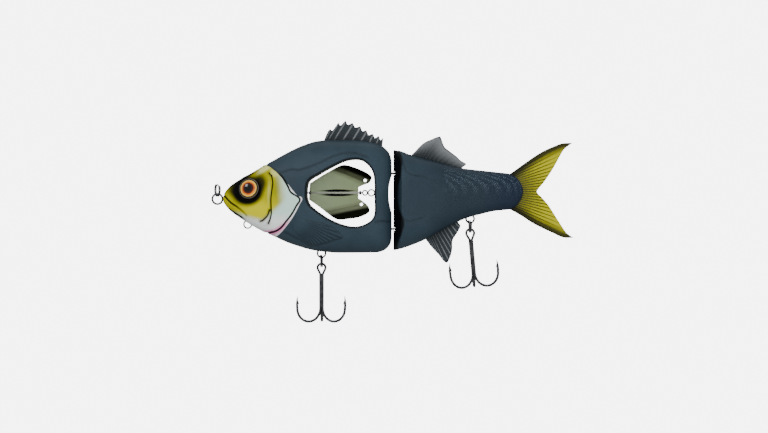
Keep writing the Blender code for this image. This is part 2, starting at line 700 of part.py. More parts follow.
for name, x, inward in (("front", shaft_start, 1.0), ("rear", shaft_end, -1.0)):
    combine(shaft, rod("shaft_stop_" + name, (x + 0.0001 * inward, 0.0, shaft_z),
                       (x + inward * ANCHOR_LENGTH, 0.0, shaft_z), ANCHOR_RADIUS, None), "UNION")
    cut_all(front_shells, rod("shaft_stop_seat_" + name, (x - inward * FIT_GAP, 0.0, shaft_z),
                              (x + inward * (ANCHOR_LENGTH + FIT_GAP), 0.0, shaft_z),
                              ANCHOR_RADIUS + FIT_GAP, None))
cut_all(front_shells, rod("shaft_channel", (shaft_start - FIT_GAP, 0.0, shaft_z),
                          (shaft_end + FIT_GAP, 0.0, shaft_z), SHAFT_WIRE + FIT_GAP, None))
cut_all(front_shells, rod("link_saddle", (link_rear_x, -SHAFT_WIRE - FIT_GAP, shaft_z),
                          (link_rear_x, SHAFT_WIRE + FIT_GAP, shaft_z),
                          LINK_REAR_LOOP + SHAFT_WIRE + FIT_GAP, None, 24))


def bead(name, x):
    """A drilled bead on the shaft, from x backwards."""
    made = rod(name, (x, 0.0, shaft_z), (x + BEAD_LENGTH, 0.0, shaft_z), BEAD_RADIUS, BRIGHT_WIRE, 16)
    combine(made, rod(name + "_bore", (x - 0.001, 0.0, shaft_z), (x + BEAD_LENGTH + 0.001, 0.0, shaft_z),
                      SHAFT_WIRE + BLADE_BORE_GAP, None, 16))


bead("prop_bead_front", blade_front - bead_gap - BEAD_LENGTH)
bead("prop_bead_rear", blade_back + bead_gap)


def wing_rise(x, z):
    """How far a point of the blade is pressed out of its plane, on its wing's side."""
    for start, end, side in WING_FOLDS:
        (x0, z0), (x1, z1) = real([start, end])
        run = Vector((x1 - x0, z1 - z0)).normalized()
        beyond = side * ((z - z0) * run.x - (x - x0) * run.y)
        if beyond > 0 and side * z > 0:
            return side * (WING_RISE * beyond - WING_BEND * MM * (1 - math.exp(-beyond / MM)))
    return 0.0


def make_blade():
    """The pressed sheet with its tubular spine, bored for the shaft."""
    outline = real(BLADE_UPPER + BLADE_LOWER)
    bm = bmesh.new()
    bm.faces.new([bm.verts.new((x, 0.0, z)) for x, z in outline])
    for start, end, side in WING_FOLDS:
        (x0, z0), (x1, z1) = real([start, end])
        normal = Vector((z0 - z1, 0.0, x1 - x0)).normalized() * side
        for step in (0.0, 0.5, 1.5, 3.5):
            near = Vector((x0, 0.0, z0)) + normal * step * MM
            edge = [f for f in bm.faces if side * f.calc_center_median().z > 0 or step == 0.0]
            geometry = edge + list({e for f in edge for e in f.edges}) + list({v for f in edge for v in f.verts})
            bmesh.ops.bisect_plane(bm, geom=geometry, plane_co=near, plane_no=normal, dist=0.001 * MM)
    for vertex in bm.verts:
        vertex.co.y = wing_rise(vertex.co.x, vertex.co.z)
        vertex.co.z += shaft_z
    bmesh.ops.triangulate(bm, faces=bm.faces)
    blade = finish(bm, "prop_blade", BLADE_METAL)
    sheet = blade.modifiers.new("sheet", "SOLIDIFY")
    sheet.thickness = BLADE_SHEET
    sheet.offset = 0.0
    bore = SHAFT_WIRE + BLADE_BORE_GAP
    combine(blade, rod("blade_spine", (blade_front + 0.0001, 0.0, shaft_z), (blade_back, 0.0, shaft_z),
                       bore + SPINE_WALL, None, 16), "UNION")
    combine(blade, rod("blade_bore", (blade_front - 0.002, 0.0, shaft_z), (blade_back + 0.002, 0.0, shaft_z),
                       bore, None, 16))
    for index, (x, z) in enumerate(real(BLADE_HOLES)):
        combine(blade, rod("blade_hole" + str(index), (x, -0.006, z + shaft_z), (x, 0.006, z + shaft_z),
                           BLADE_HOLE, None, 12))


make_blade()


# ---- Eyes ----

def fish_eye(name, side, shell):
    """A domed eye turned about its axis, seated in a round socket."""
    data = bpy.data.meshes.new(name)
    bm = bmesh.new()
    profile = [(0.0, EYE_DOME)]
    for step in range(1, 7):
        angle = math.radians(90.0 * step / 6)
        profile.append((EYE_RADIUS * math.sin(angle), EYE_DOME * math.cos(angle)))
    profile += [(EYE_RADIUS, -EYE_DEPTH), (0.0, -EYE_DEPTH)]
    points = [bm.verts.new((r, 0.0, z)) for r, z in profile]
    for first, second in zip(points, points[1:]):
        bm.edges.new((first, second))
    bm.to_mesh(data)
    bm.free()
    data.materials.append(EYE_LENS)
    eye = bpy.data.objects.new(name, data)
    PARTS.objects.link(eye)
    spin = eye.modifiers.new("turned", "SCREW")
    spin.steps = spin.render_steps = 24
    spin.use_merge_vertices = True
    spin.merge_threshold = 0.01 * MM
    out = side_point(FRONT, EYE_STATION, EYE_HEIGHT)
    turn = Matrix.Rotation(math.radians((90.0 + EYE_TILT) * -side), 4, "X")
    slant = Matrix.Rotation(math.radians(EYE_TURN * side), 4, "Z")
    place = Matrix.Translation((along(EYE_STATION), side * out, up(EYE_HEIGHT))) @ slant @ turn
    eye.matrix_world = place
    low = place @ Vector((0.0, 0.0, -EYE_DEPTH - FIT_GAP))
    high = place @ Vector((0.0, 0.0, 4 * EYE_DOME))
    combine(shell, rod(name + "_socket", low, high, EYE_RADIUS + FIT_GAP, None, 24))


fish_eye("eye_left", -1.0, front_shells[0])
fish_eye("eye_right", 1.0, front_shells[1])


# ---- Fins ----

def fin_slot(name, body_line, base, out, shells):
    """The slot that a fin's root is glued into; out is 1 on the back and -1 on the belly."""
    start, end = base
    corners = []
    for station, shift in ((start, -FIT_GAP), (end, FIT_GAP)):
        edge = up(smooth_value(body_line, station))
        corners.append((along(station) + shift, edge - out * (FIN_ROOT + FIT_GAP), edge + out * 0.004))
    (x0, deep0, high0), (x1, deep1, high1) = corners
    outline = [(x0, deep0), (x1, deep1), (x1, high1), (x0, high0)]
    cut_all(shells, plate(name + "_slot", outline, FIN_THICKNESS + 2 * FIT_GAP, None))


def fin(name, body_line, base, edge, out, shells):
    """A flat soft fin with its root below the body's surface."""
    start, end = base
    roots = [(along(station), up(smooth_value(body_line, station)) - out * FIN_ROOT)
             for station in (end, start)]
    plate(name, real(edge) + roots, FIN_THICKNESS, SOFT_GREY)
    fin_slot(name, body_line, base, out, shells)


def spiny_edge():
    """The front fin's edge: each spine's tip, then the web sagging behind it."""
    back, sag = DORSAL_WEB
    edge = [(DORSAL_BASE[0], smooth_value(FRONT_TOP, DORSAL_BASE[0]) + 0.4)]
    for index, (x, z) in enumerate(DORSAL_TIPS):
        edge.append((x, z))
        if index + 1 < len(DORSAL_TIPS):
            edge.append((x + back, z - sag))
    edge.append((DORSAL_BASE[1], smooth_value(FRONT_TOP, DORSAL_BASE[1]) + 0.4))
    return edge


fin("front_dorsal_fin", FRONT_TOP, DORSAL_BASE, spiny_edge(), 1.0, front_shells)
fin("rear_dorsal_fin", REAR_TOP, REAR_DORSAL_BASE, REAR_DORSAL, 1.0, rear_shells)
fin("anal_fin", REAR_BOTTOM, ANAL_BASE, ANAL_FIN, -1.0, rear_shells)

# The tail plugs in: a tenon between the shells, held by a cross pin.
tenon_front, root_x = (along(x) for x in TAIL_ROOT)
tenon_top, tenon_bottom = (up(z) for z in TAIL_TENON)
tenon = [(root_x, tenon_bottom), (tenon_front, tenon_bottom), (tenon_front, tenon_top), (root_x, tenon_top)]
tail = plate("tail_fin", real(TAIL_EDGE) + tenon, TAIL_THICKNESS, SOFT_YELLOW)
slot = TAIL_THICKNESS / 2 + FIT_GAP
cut_all(rear_shells, block("tenon_slot", (tenon_front - FIT_GAP, -slot, tenon_bottom - FIT_GAP),
                           (root_x + 0.001, slot, tenon_top + FIT_GAP)))
cut_all(rear_shells, block("tail_slot", (root_x - FIT_GAP, -slot, -BODY_DEPTH), (along(190.0), slot, BODY_DEPTH)))
tail_pin_x, tail_pin_z = real([TAIL_PIN_PLACE])[0]
half_pin = TAIL_PIN_LENGTH / 2
rod("tail_pin", (tail_pin_x, -half_pin, tail_pin_z), (tail_pin_x, half_pin, tail_pin_z), TAIL_PIN_RADIUS,
    BRIGHT_WIRE, 16)
pin_hole = rod("tail_pin_hole", (tail_pin_x, -half_pin - FIT_GAP, tail_pin_z),
               (tail_pin_x, half_pin + FIT_GAP, tail_pin_z), TAIL_PIN_RADIUS + FIT_GAP, None, 16)
combine(tail, pin_hole)
cut_all(rear_shells, pin_hole)


# ---- Ballast ----

def ballast(name, place, size, shells):
    """A cast slug lying along the body in its own pocket."""
    radius, length = size
    x, z = real([place])[0]
    half = length / 2
    rod(name, (x - half, 0.0, z), (x + half, 0.0, z), radius, LEAD, 20)
    cut_all(shells, rod(name + "_pocket", (x - half - FIT_GAP, 0.0, z), (x + half + FIT_GAP, 0.0, z),
                        radius + FIT_GAP, None, 20))


ballast("front_ballast", FRONT_BALLAST_PLACE, FRONT_BALLAST, front_shells)
ballast("rear_ballast", REAR_BALLAST_PLACE, REAR_BALLAST, rear_shells)
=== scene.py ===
import math
import bmesh
import bpy
import numpy as np
from mathutils import Matrix, Vector


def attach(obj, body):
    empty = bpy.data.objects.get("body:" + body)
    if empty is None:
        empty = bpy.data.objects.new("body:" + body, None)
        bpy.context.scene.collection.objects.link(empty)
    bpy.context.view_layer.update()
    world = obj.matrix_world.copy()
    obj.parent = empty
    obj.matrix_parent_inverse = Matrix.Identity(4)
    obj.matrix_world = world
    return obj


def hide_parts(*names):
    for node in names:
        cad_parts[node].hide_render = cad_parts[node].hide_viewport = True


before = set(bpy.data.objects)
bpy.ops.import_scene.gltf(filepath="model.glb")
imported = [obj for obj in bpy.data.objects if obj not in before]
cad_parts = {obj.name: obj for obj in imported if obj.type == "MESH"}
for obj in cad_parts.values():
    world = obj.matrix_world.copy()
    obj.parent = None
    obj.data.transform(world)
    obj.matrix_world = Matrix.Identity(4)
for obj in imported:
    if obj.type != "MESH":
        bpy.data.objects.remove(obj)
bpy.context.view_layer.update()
mm = 0.001
print("frame loaded")


# Lines and surfaces, in millimetres.

def smoothLine(points, x):
    px, pz = np.array(points).T
    step = np.diff(px)
    slope = np.diff(pz) / step
    before, after = slope[:-1], slope[1:]
    same = before * after > 0
    inner = np.where(same, 2 * before * after / np.where(same, before + after, 1), 0)
    tangent = np.concatenate(([slope[0]], inner, [slope[-1]]))
    x = np.clip(x, px[0], px[-1])
    index = np.clip(np.searchsorted(px, x) - 1, 0, len(step) - 1)
    t = (x - px[index]) / step[index]
    rise = 3 * t ** 2 - 2 * t ** 3
    lean = (t ** 3 - 2 * t ** 2 + t) * tangent[index] + (t ** 3 - t ** 2) * tangent[index + 1]
    return (1 - rise) * pz[index] + rise * pz[index + 1] + lean * step[index]


def smoothPath(points, steps, closed=False):
    points = np.array(points, float)
    if closed:
        padded = np.vstack((points[-1], points, points[:2]))
    else:
        padded = np.vstack((2 * points[0] - points[1], points, 2 * points[-1] - points[-2]))
    made = []
    for a, b, c, d in zip(padded, padded[1:], padded[2:], padded[3:]):
        for t in np.arange(steps) / steps:
            made.append(0.5 * (2 * b + (c - a) * t + (2 * a - 5 * b + 4 * c - d) * t * t
                               + (3 * b - a - 3 * c + d) * t ** 3))
    if not closed:
        made.append(points[-1])
    return np.array(made)


def distanceTo(path, x, z, closed=False):
    path = np.array(path, float)
    ends = np.roll(path, -1, axis=0) if closed else path[1:]
    nearest = np.full(np.shape(x), 1e9)
    for (ax, az), (bx, bz) in zip(path, ends):
        dx, dz = bx - ax, bz - az
        t = np.clip(((x - ax) * dx + (z - az) * dz) / (dx * dx + dz * dz + 1e-12), 0, 1)
        nearest = np.minimum(nearest, np.hypot(x - ax - t * dx, z - az - t * dz))
    return nearest


def insideOf(path, x, z):
    path = np.array(path, float)
    inside = np.zeros(np.shape(x), bool)
    for (ax, az), (bx, bz) in zip(path, np.roll(path, -1, axis=0)):
        if az != bz:
            inside ^= ((az > z) != (bz > z)) & (x < (bx - ax) * (z - az) / (bz - az) + ax)
    return inside


def circleOf(across, upward, radius, steps):
    angles = np.linspace(0, 2 * math.pi, steps + 1)[:-1]
    return [(across + radius * math.cos(angle), upward + radius * math.sin(angle)) for angle in angles]


def signedTo(path, x, z):
    return distanceTo(path, x, z, True) * np.where(insideOf(path, x, z), 1, -1)


def fade(value, low, high):
    t = np.clip((value - low) / (high - low), 0, 1)
    return t * t * (3 - 2 * t)


# Meshes.

def addPiece(name, bm, material, body, replaced=(), sharp=40):
    bmesh.ops.recalc_face_normals(bm, faces=bm.faces)
    mesh = bpy.data.meshes.new(name)
    bm.to_mesh(mesh)
    bm.free()
    for polygon in mesh.polygons:
        polygon.use_smooth = True
    mesh.set_sharp_from_angle(angle=math.radians(sharp))
    if material:
        mesh.materials.append(material)
    piece = bpy.data.objects.new(name, mesh)
    bpy.context.scene.collection.objects.link(piece)
    if body:
        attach(piece, body)
    if replaced:
        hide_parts(*replaced)
    return piece


# A grid whose rows and columns are placed by an array of points.
def gridPiece(bm, places):
    rows, columns = places.shape[:2]
    start = len(bm.verts)
    bmesh.ops.create_grid(bm, x_segments=columns - 1, y_segments=rows - 1, size=0.5)
    bm.verts.ensure_lookup_table()
    made = bm.verts[start:]
    for vert in made:
        row = round((vert.co.y + 0.5) * (rows - 1))
        column = round((vert.co.x + 0.5) * (columns - 1))
        vert.co = places[row, column] * mm
    return made


# A tube along a path, in millimetres, with its own radius at each point.
def tubeInto(bm, path, radii, sides=16, closed=False):
    path = [Vector(point) for point in path]
    count = len(path)
    radii = [radii] * count if isinstance(radii, (int, float)) else list(radii)
    tangents = []
    for index in range(count):
        ahead = path[(index + 1) % count] if closed or index < count - 1 else path[index]
        behind = path[index - 1] if closed or index else path[index]
        tangents.append((ahead - behind).normalized())
    side = tangents[0].orthogonal().normalized()
    rings = []
    for point, tangent, radius in zip(path, tangents, radii):
        side = (side - tangent * side.dot(tangent)).normalized()
        other = tangent.cross(side)
        angles = [2 * math.pi * turn / sides for turn in range(sides)]
        spokes = [side * math.cos(angle) + other * math.sin(angle) for angle in angles]
        rings.append([bm.verts.new((point + spoke * radius) * mm) for spoke in spokes])
    pairs = list(zip(rings, rings[1:]))
    if closed:
        first, last = path[0] * mm, rings[-1]
        lead = (rings[0][0].co - first).normalized()
        shift = max(range(sides), key=lambda k: (last[k].co - path[-1] * mm).normalized().dot(lead))
        pairs.append((last[shift:] + last[:shift], rings[0]))
    for low, high in pairs:
        for turn in range(sides):
            after = (turn + 1) % sides
            bm.faces.new((low[turn], low[after], high[after], high[turn]))
    if not closed:
        for ring, place in ((rings[0], path[0]), (rings[-1], path[-1])):
            tip = bm.verts.new(place * mm)
            for turn in range(sides):
                bm.faces.new((ring[turn], ring[(turn + 1) % sides], tip))


def cutWith(piece, cutters, sharp):
    for cutter in cutters:
        change = piece.modifiers.new("cut", "BOOLEAN")
        change.operation = "DIFFERENCE"
        change.solver = "EXACT"
        change.object = cutter
    shape = bpy.data.meshes.new_from_object(piece.evaluated_get(bpy.context.evaluated_depsgraph_get()))
    piece.modifiers.clear()
    old = piece.data
    piece.data = shape
    shape.name = old.name
    bpy.data.meshes.remove(old)
    shape.set_sharp_from_angle(angle=math.radians(sharp))


def prism(name, outline, low, high, turned=False):
    bm = bmesh.new()
    if turned:
        bottom = [bm.verts.new((x * mm, y * mm, low * mm)) for x, y in outline]
        shift = Vector((0, 0, (high - low) * mm))
    else:
        bottom = [bm.verts.new((x * mm, low * mm, z * mm)) for x, z in outline]
        shift = Vector((0, (high - low) * mm, 0))
    face = bm.faces.new(bottom)
    made = bmesh.ops.extrude_face_region(bm, geom=[face])
    bmesh.ops.translate(bm, vec=shift, verts=[v for v in made["geom"] if isinstance(v, bmesh.types.BMVert)])
    return addPiece(name, bm, None, None)


def setValues(mesh, name, values):
    layer = mesh.attributes.new(name, "FLOAT", "POINT")
    layer.data.foreach_set("value", np.asarray(values, np.float32))


def placesOf(mesh):
    flat = np.empty(len(mesh.vertices) * 3, np.float32)
    mesh.vertices.foreach_get("co", flat)
    return flat[0::3] / mm, flat[2::3] / mm


# Materials.

def nodeOf(tree, kind, **settings):
    node = tree.nodes.new(kind)
    for key, value in settings.items():
        setattr(node, key, value)
    return node


def feed(tree, socket, value):
    if isinstance(value, bpy.types.NodeSocket):
        tree.links.new(value, socket)
    else:
        socket.default_value = value


def maths(tree, operation, first, second=0, third=0):
    node = nodeOf(tree, "ShaderNodeMath", operation=operation)
    for socket, value in zip(node.inputs, (first, second, third)):
        feed(tree, socket, value)
    return node.outputs[0]


def stepped(tree, value, low, high, bottom=0, top=1):
    node = nodeOf(tree, "ShaderNodeMapRange", interpolation_type="SMOOTHSTEP")
    for socket, given in zip(node.inputs, (value, low, high, bottom, top)):
        feed(tree, socket, given)
    return node.outputs[0]


def mixed(tree, factor, first, second):
    node = nodeOf(tree, "ShaderNodeMix", data_type="RGBA")
    feed(tree, node.inputs[0], factor)
    feed(tree, node.inputs[6], first)
    feed(tree, node.inputs[7], second)
    return node.outputs[2]


def attributeOf(tree, name):
    return nodeOf(tree, "ShaderNodeAttribute", attribute_name=name).outputs["Fac"]


def placeOf(tree):
    return nodeOf(tree, "ShaderNodeTexCoord").outputs["Object"]


# The two side-view coordinates in millimetres.
def millimetres(tree):
    node = nodeOf(tree, "ShaderNodeSeparateXYZ")
    scaled = nodeOf(tree, "ShaderNodeVectorMath", operation="SCALE")
    feed(tree, scaled.inputs[0], placeOf(tree))
    scaled.inputs["Scale"].default_value = 1000
    tree.links.new(scaled.outputs[0], node.inputs[0])
    return node.outputs[0], node.outputs[2]


def shade(red, green, blue):
    made = []
    for part in (red, green, blue):
        share = part / 255
        made.append(share / 12.92 if share <= 0.04045 else ((share + 0.055) / 1.055) ** 2.4)
    return (*made, 1)


def newMaterial(name, colour, roughness, metallic=0, coat=0):
    material = bpy.data.materials.new(name)
    material.use_nodes = True
    shader = material.node_tree.nodes["Principled BSDF"]
    values = {"Base Color": colour, "Roughness": roughness, "Metallic": metallic, "Coat Weight": coat,
              "Coat Roughness": 0.08, "Specular IOR Level": 0.3}
    for key, value in values.items():
        shader.inputs[key].default_value = value
    return material, material.node_tree, shader


def bumped(tree, shader, height, strength, distance):
    node = nodeOf(tree, "ShaderNodeBump")
    node.inputs["Strength"].default_value = strength
    node.inputs["Distance"].default_value = distance
    feed(tree, node.inputs["Height"], height)
    tree.links.new(node.outputs[0], shader.inputs["Normal"])


# A noise over the object's own coordinates.
def noiseOf(tree, scale, detail=2):
    node = nodeOf(tree, "ShaderNodeTexNoise")
    node.inputs["Detail"].default_value = detail
    feed(tree, node.inputs["Scale"], scale)
    tree.links.new(placeOf(tree), node.inputs["Vector"])
    return node.outputs["Fac"]


# Grain: a fine mask and height for moulded and plated surfaces.
grain = bpy.data.node_groups.new("grain", "ShaderNodeTree")
for name, way in (("Scale", "INPUT"), ("Low", "INPUT"), ("High", "INPUT"), ("Roughness", "OUTPUT"),
                  ("Height", "OUTPUT")):
    grain.interface.new_socket(name, in_out=way, socket_type="NodeSocketFloat")
grainIn = nodeOf(grain, "NodeGroupInput").outputs
grainOut = nodeOf(grain, "NodeGroupOutput").inputs
grainNoise = noiseOf(grain, grainIn["Scale"], 3)
grainSpread = nodeOf(grain, "ShaderNodeMapRange")
for socket, given in zip(grainSpread.inputs, (grainNoise, 0.3, 0.7, grainIn["Low"], grainIn["High"])):
    feed(grain, socket, given)
grain.links.new(grainSpread.outputs[0], grainOut["Roughness"])
grain.links.new(grainNoise, grainOut["Height"])


def grained(tree, shader, scale, low, high):
    node = nodeOf(tree, "ShaderNodeGroup", node_tree=grain)
    for name, value in (("Scale", scale), ("Low", low), ("High", high)):
        node.inputs[name].default_value = value
    tree.links.new(node.outputs["Roughness"], shader.inputs["Roughness"])
    return node.outputs["Height"]


# Body outlines, in millimetres from the line eye.

frontTop = (
    (3.3, 1.7), (5.4, 5), (8.4, 8), (15.3, 12.3), (22.1, 16.2), (29, 20.4), (35.8, 24.2), (42.7, 27.9),
    (49.5, 30.9), (56.4, 33), (63, 33.7), (75.8, 33.7), (87.3, 32.6), (93.5, 30.6), (97.4, 27.4),
    (99, 24.4), (99.6, 22))
frontBottom = (
    (3.3, -1), (5.2, -4), (8.4, -7.3), (13.5, -10.9), (22.7, -16.6), (33, -21.7), (42.7, -25.9),
    (57, -29.7), (70.1, -30.8), (90.7, -30.6), (94.8, -29.6), (97.8, -27.2), (99.1, -25),
    (99.6, -22.9))
frontHalf = (
    (3.3, 2.5), (5, 3.8), (8.4, 5.4), (14, 7.8), (20, 9.6), (30, 11.8), (42, 13.4), (55, 14.2), (70, 14.4),
    (85, 13.7), (91, 12.8), (94.6, 11.6), (97, 9.9), (98.6, 7.8), (99.6, 5.6))
rearTop = (
    (100.6, 28.2), (104.4, 27.5), (110.1, 25.4), (125, 21.4), (139.2, 17.7), (149, 16.5), (159.2, 15.4),
    (166.1, 14.6), (170, 12.9), (172.8, 10.1), (174.2, 7), (174.6, 5.4))
rearBottom = (
    (100.6, -29.4), (104.4, -28.6), (111.3, -26.3), (118.5, -23.3), (128, -17.9), (136.7, -13.4),
    (142.5, -10.9), (149, -9.1), (158.6, -6.9), (166.6, -6), (170.4, -4.4), (173, -1.2), (174.2, 1.8),
    (174.6, 3.4))
rearHalf = (
    (109, 12.1), (120, 10.9), (130, 9.4), (140, 7.9), (150, 6.4), (160, 5.1), (167, 4.1), (172, 2.9),
    (174.6, 1.9))
window = smoothPath((
    (52.4, 10), (58.3, 14), (64.1, 17.4), (71.8, 21.2), (77.6, 22.5), (82.6, 22), (86.6, 19), (89, 14.6),
    (89.8, 8), (89.8, 0), (89.8, -8), (87.5, -12.4), (81.3, -15.4), (74.1, -15.3), (64.1, -11.5),
    (54.4, -4.8), (51.9, -1), (51.3, 3)), 5, True)
gillPlate = smoothPath((
    (0, 22), (20, 22), (29.6, 18.6), (32.5, 16.6), (34.9, 14.7), (37.7, 11.8), (40.6, 7), (42.5, 3.4),
    (47.4, -0.1), (45.4, -3.9), (42.9, -8.4), (39.6, -12.6), (36.8, -16), (33.8, -18), (30, -19),
    (26, -19.8), (18, -24), (0, -22), (-8, 0)), 6, True)
lowerStrip = smoothPath((
    (47.6, 1.4), (49, -0.4), (47.4, -3.4), (44.6, -8.8), (41.4, -13.6), (37.2, -18.6), (33, -22), (26, -24),
    (27, -18.6), (37, -11), (43, -1)), 6, True)
upperStrip = smoothPath((
    (40.4, 8.6), (42.4, 6.4), (44.6, 3.6), (46.8, 1.2), (45.4, 0.4), (42, 2.6), (40, 6)), 5, True)
cheekLines = [smoothPath(line, 5) for line in (
    ((31.5, 13.4), (32.2, 9), (31.8, 5.1), (31.2, 0.4), (31.3, -4.4), (31.4, -8.2), (30.7, -11.5),
     (29.6, -14)),
    ((30.4, -6.2), (29.2, -9.4), (26.4, -12.2), (25, -12.7)),
    ((30.1, 14.6), (30.9, 13.6), (31.5, 12.9)))]
mouthLines = [smoothPath(line, 5) for line in (
    ((3, 2.6), (4.6, 1.4), (6.2, -0.4), (8.6, -2.6), (12, -4.8), (15.4, -7.7), (17, -9.6)),)]
eyeCentre = (18.97, 5.83)
seam = 0.15
sectionPower = 2.35
bodySharp = 45
wedge = {"start": 100.6, "half": 1, "degrees": 21, "widest": 12.2, "full": 109}


def wedgeHalf(x):
    nose = wedge["half"] + (x - wedge["start"]) / math.tan(math.radians(wedge["degrees"]))
    side = smoothLine(rearHalf, np.maximum(x, wedge["full"]))
    return np.minimum(nose, np.minimum(wedge["widest"], side))


# The half body's surface as rows along it and columns from back to belly. A row is its station, how
# far it is drawn in for the rounded end, and its share of the full width.
def bodyPlaces(top, bottom, half, first, last, radius, side, cell, columns, relief):
    rows = [(first, radius, share) for share in (0, 0.5)]
    rows += [(first + radius * (1 - math.cos(a)), radius * (1 - math.sin(a)), 1)
             for a in np.linspace(0, 1.45, 6)]
    rows += [(x, 0, 1) for x in np.arange(first + radius, last - radius, cell)]
    rows += [(last - radius * (1 - math.sin(a)), radius * (1 - math.cos(a)), 1)
             for a in np.linspace(0.1, math.pi / 2, 6)]
    rows += [(last, radius, share) for share in (0.8, 0.4, 0)]
    x, inset, share = (np.array(column)[:, None] for column in zip(*rows))
    angle = np.linspace(math.pi / 2, -math.pi / 2, columns)[None, :]
    high, low = smoothLine(top, x) - inset, smoothLine(bottom, x) + inset
    widest = np.maximum(half(x) - inset, 0.3)
    out = widest * np.maximum(np.cos(angle), 0) ** (2 / sectionPower) * share
    out = seam + out * (widest - seam) / widest
    rise = np.abs(np.sin(angle)) ** (2 / sectionPower) * np.sign(np.sin(angle)) * (high - low) / 2 * share
    z = (high + low) / 2 + rise
    places = np.stack((np.broadcast_to(x, z.shape), out, z), axis=-1).copy()
    along = np.gradient(places, axis=0)
    around = np.gradient(places, axis=1)
    normal = np.cross(along, around)
    length = np.linalg.norm(normal, axis=-1, keepdims=True)
    normal = np.where(length > 1e-7, normal / np.maximum(length, 1e-9), 0)
    normal *= np.where(normal[..., 1:2] < -0.2, -1, 1)
    height = relief(places[..., 0], places[..., 2])
    steady = (share > 0.99) * fade(inset, radius * 0.6 + 1e-6, 0)
    places += normal * (height * steady)[..., None]
    places[:, 0, 1] = places[:, -1, 1] = seam
    places[0, :, 1] = places[-1, :, 1] = seam
    places[..., 1] = np.maximum(places[..., 1], seam) * side
    return places


def halfBody(name, body, node, places, material):
    bm = bmesh.new()
    gridPiece(bm, places)
    bmesh.ops.remove_doubles(bm, verts=bm.verts, dist=2e-6)
    edges = [edge for edge in bm.edges if edge.is_boundary]
    bmesh.ops.holes_fill(bm, edges=edges, sides=0)
    return addPiece(name, bm, material, body, (node,), bodySharp)


# Heights of the moulded detail on the front body.
frontRelief = {"gillPlate": 0.22, "groove": 0.3, "cheekLine": 0.26, "cheekRidge": 0.28, "mouth": 0.4,
               "rim": 0.75, "crease": 0.16, "hollow": 0.2, "pectoral": 0.42, "orbit": 0.35,
               "orbitRadius": 6.7}
pectoralRoot = (45, -11.6)
pectoralRayDegrees = 5
pectoralEdge = smoothPath((
    (46.4, -11.6), (54, -12.8), (62.4, -14.4), (68, -17.6), (71.6, -21.8), (67, -23.4), (61, -25.4),
    (54.6, -26.4), (48, -22.4), (43.6, -17)), 6, True)
windowCrease = smoothPath((
    (36.8, 14.7), (42.5, 16.6), (47, 16.4), (52, 17.8), (59.6, 20.8), (66, 24), (72, 25.8), (79, 26),
    (86, 23.6)), 6)
bellyCrease = smoothPath(((90.4, -13.4), (94, -12.6), (98.6, -12.9)), 5)
shoulderCrease = smoothPath(((39, -18.9), (46.3, -22.8), (53.9, -27)), 5)


def pectoralRays(x, z):
    fan = signedTo(pectoralEdge, x, z)
    heading = np.degrees(np.arctan2(z - pectoralRoot[1], x - pectoralRoot[0]))
    reach = np.hypot(x - pectoralRoot[0], z - pectoralRoot[1])
    return fan, 0.5 + 0.5 * np.cos(heading / pectoralRayDegrees * 2 * math.pi), reach


def frontHeights(x, z):
    values = frontRelief
    plate = signedTo(gillPlate, x, z)
    height = values["gillPlate"] * fade(plate, -0.2, 0.5)
    height -= values["groove"] * fade(np.abs(plate + 0.2), 0.75, 0.1)
    for line in cheekLines:
        height -= values["cheekLine"] * fade(distanceTo(line, x, z), 0.7, 0.1)
    for line in mouthLines:
        height -= values["mouth"] * fade(distanceTo(line, x, z), 0.8, 0.1)
    ridge = fade(distanceTo(cheekLines[0], x + 1.6, z), 2, 0.2)
    height += values["cheekRidge"] * ridge * fade(plate, 1, 3)
    eye = np.hypot(x - eyeCentre[0], z - eyeCentre[1])
    height += values["orbit"] * fade(np.abs(eye - values["orbitRadius"]), 1.3, 0.2)
    rim = -signedTo(window, x, z)
    height -= values["rim"] * fade(rim, 1.5, -0.2) ** 2
    crease = distanceTo(windowCrease, x, z)
    height -= values["crease"] * fade(crease, 1.1, 0)
    below = np.where(z > smoothLine(windowCrease, x), 0, 1)
    reach = fade(rim, 0.5, 3) * fade(x, 38, 46) * fade(x, 92, 86)
    height -= values["hollow"] * fade(crease, 5, 0.5) * below * reach
    for line in (bellyCrease, shoulderCrease):
        height -= values["crease"] * fade(distanceTo(line, x, z), 0.9, 0)
    fan, rays, reach = pectoralRays(x, z)
    ribs = 0.45 + 0.55 * rays * fade(reach, 2, 7)
    height += values["pectoral"] * fade(fan, -0.3, 0.8) * ribs
    return height


# Heights of the moulded detail on the rear body.
rearRelief = {"crease": 0.18, "step": 0.26, "cheek": 0.22}
rearUpper = smoothPath((
    (100.8, 29.6), (104, 25.7), (106.6, 19.6), (108.4, 15.4), (112, 13.4), (117, 12.8), (121, 11),
    (125, 9.5), (128, 6.8)), 6)
rearLower = smoothPath(((103, -10.4), (108.6, -12.6), (113, -12), (117, -10.9)), 5)
noseBand = smoothPath((
    (99, 29), (104, 26.5), (105.4, 22), (105, 17), (104.4, 12), (103.4, 8), (103, 0), (103.8, -6),
    (105.2, -9), (106.4, -14), (105, -20), (103.4, -24), (102.6, -30)), 6)


def rearHeights(x, z):
    upper = distanceTo(rearUpper, x, z)
    height = -rearRelief["crease"] * fade(upper, 1, 0)
    below = np.where(z < smoothLine(rearUpper, x), 1, 0)
    reach = fade(x, 128, 120) * fade(x, 105, 110)
    height -= rearRelief["step"] * below * fade(upper, 6, 0.4) * reach
    height -= rearRelief["crease"] * 0.8 * fade(distanceTo(rearLower, x, z), 0.9, 0)
    cheek = np.hypot((x - 109) / 20, (z - 0.5) / 13.5)
    height -= rearRelief["cheek"] * fade(cheek, 1.06, 0.88)
    return height


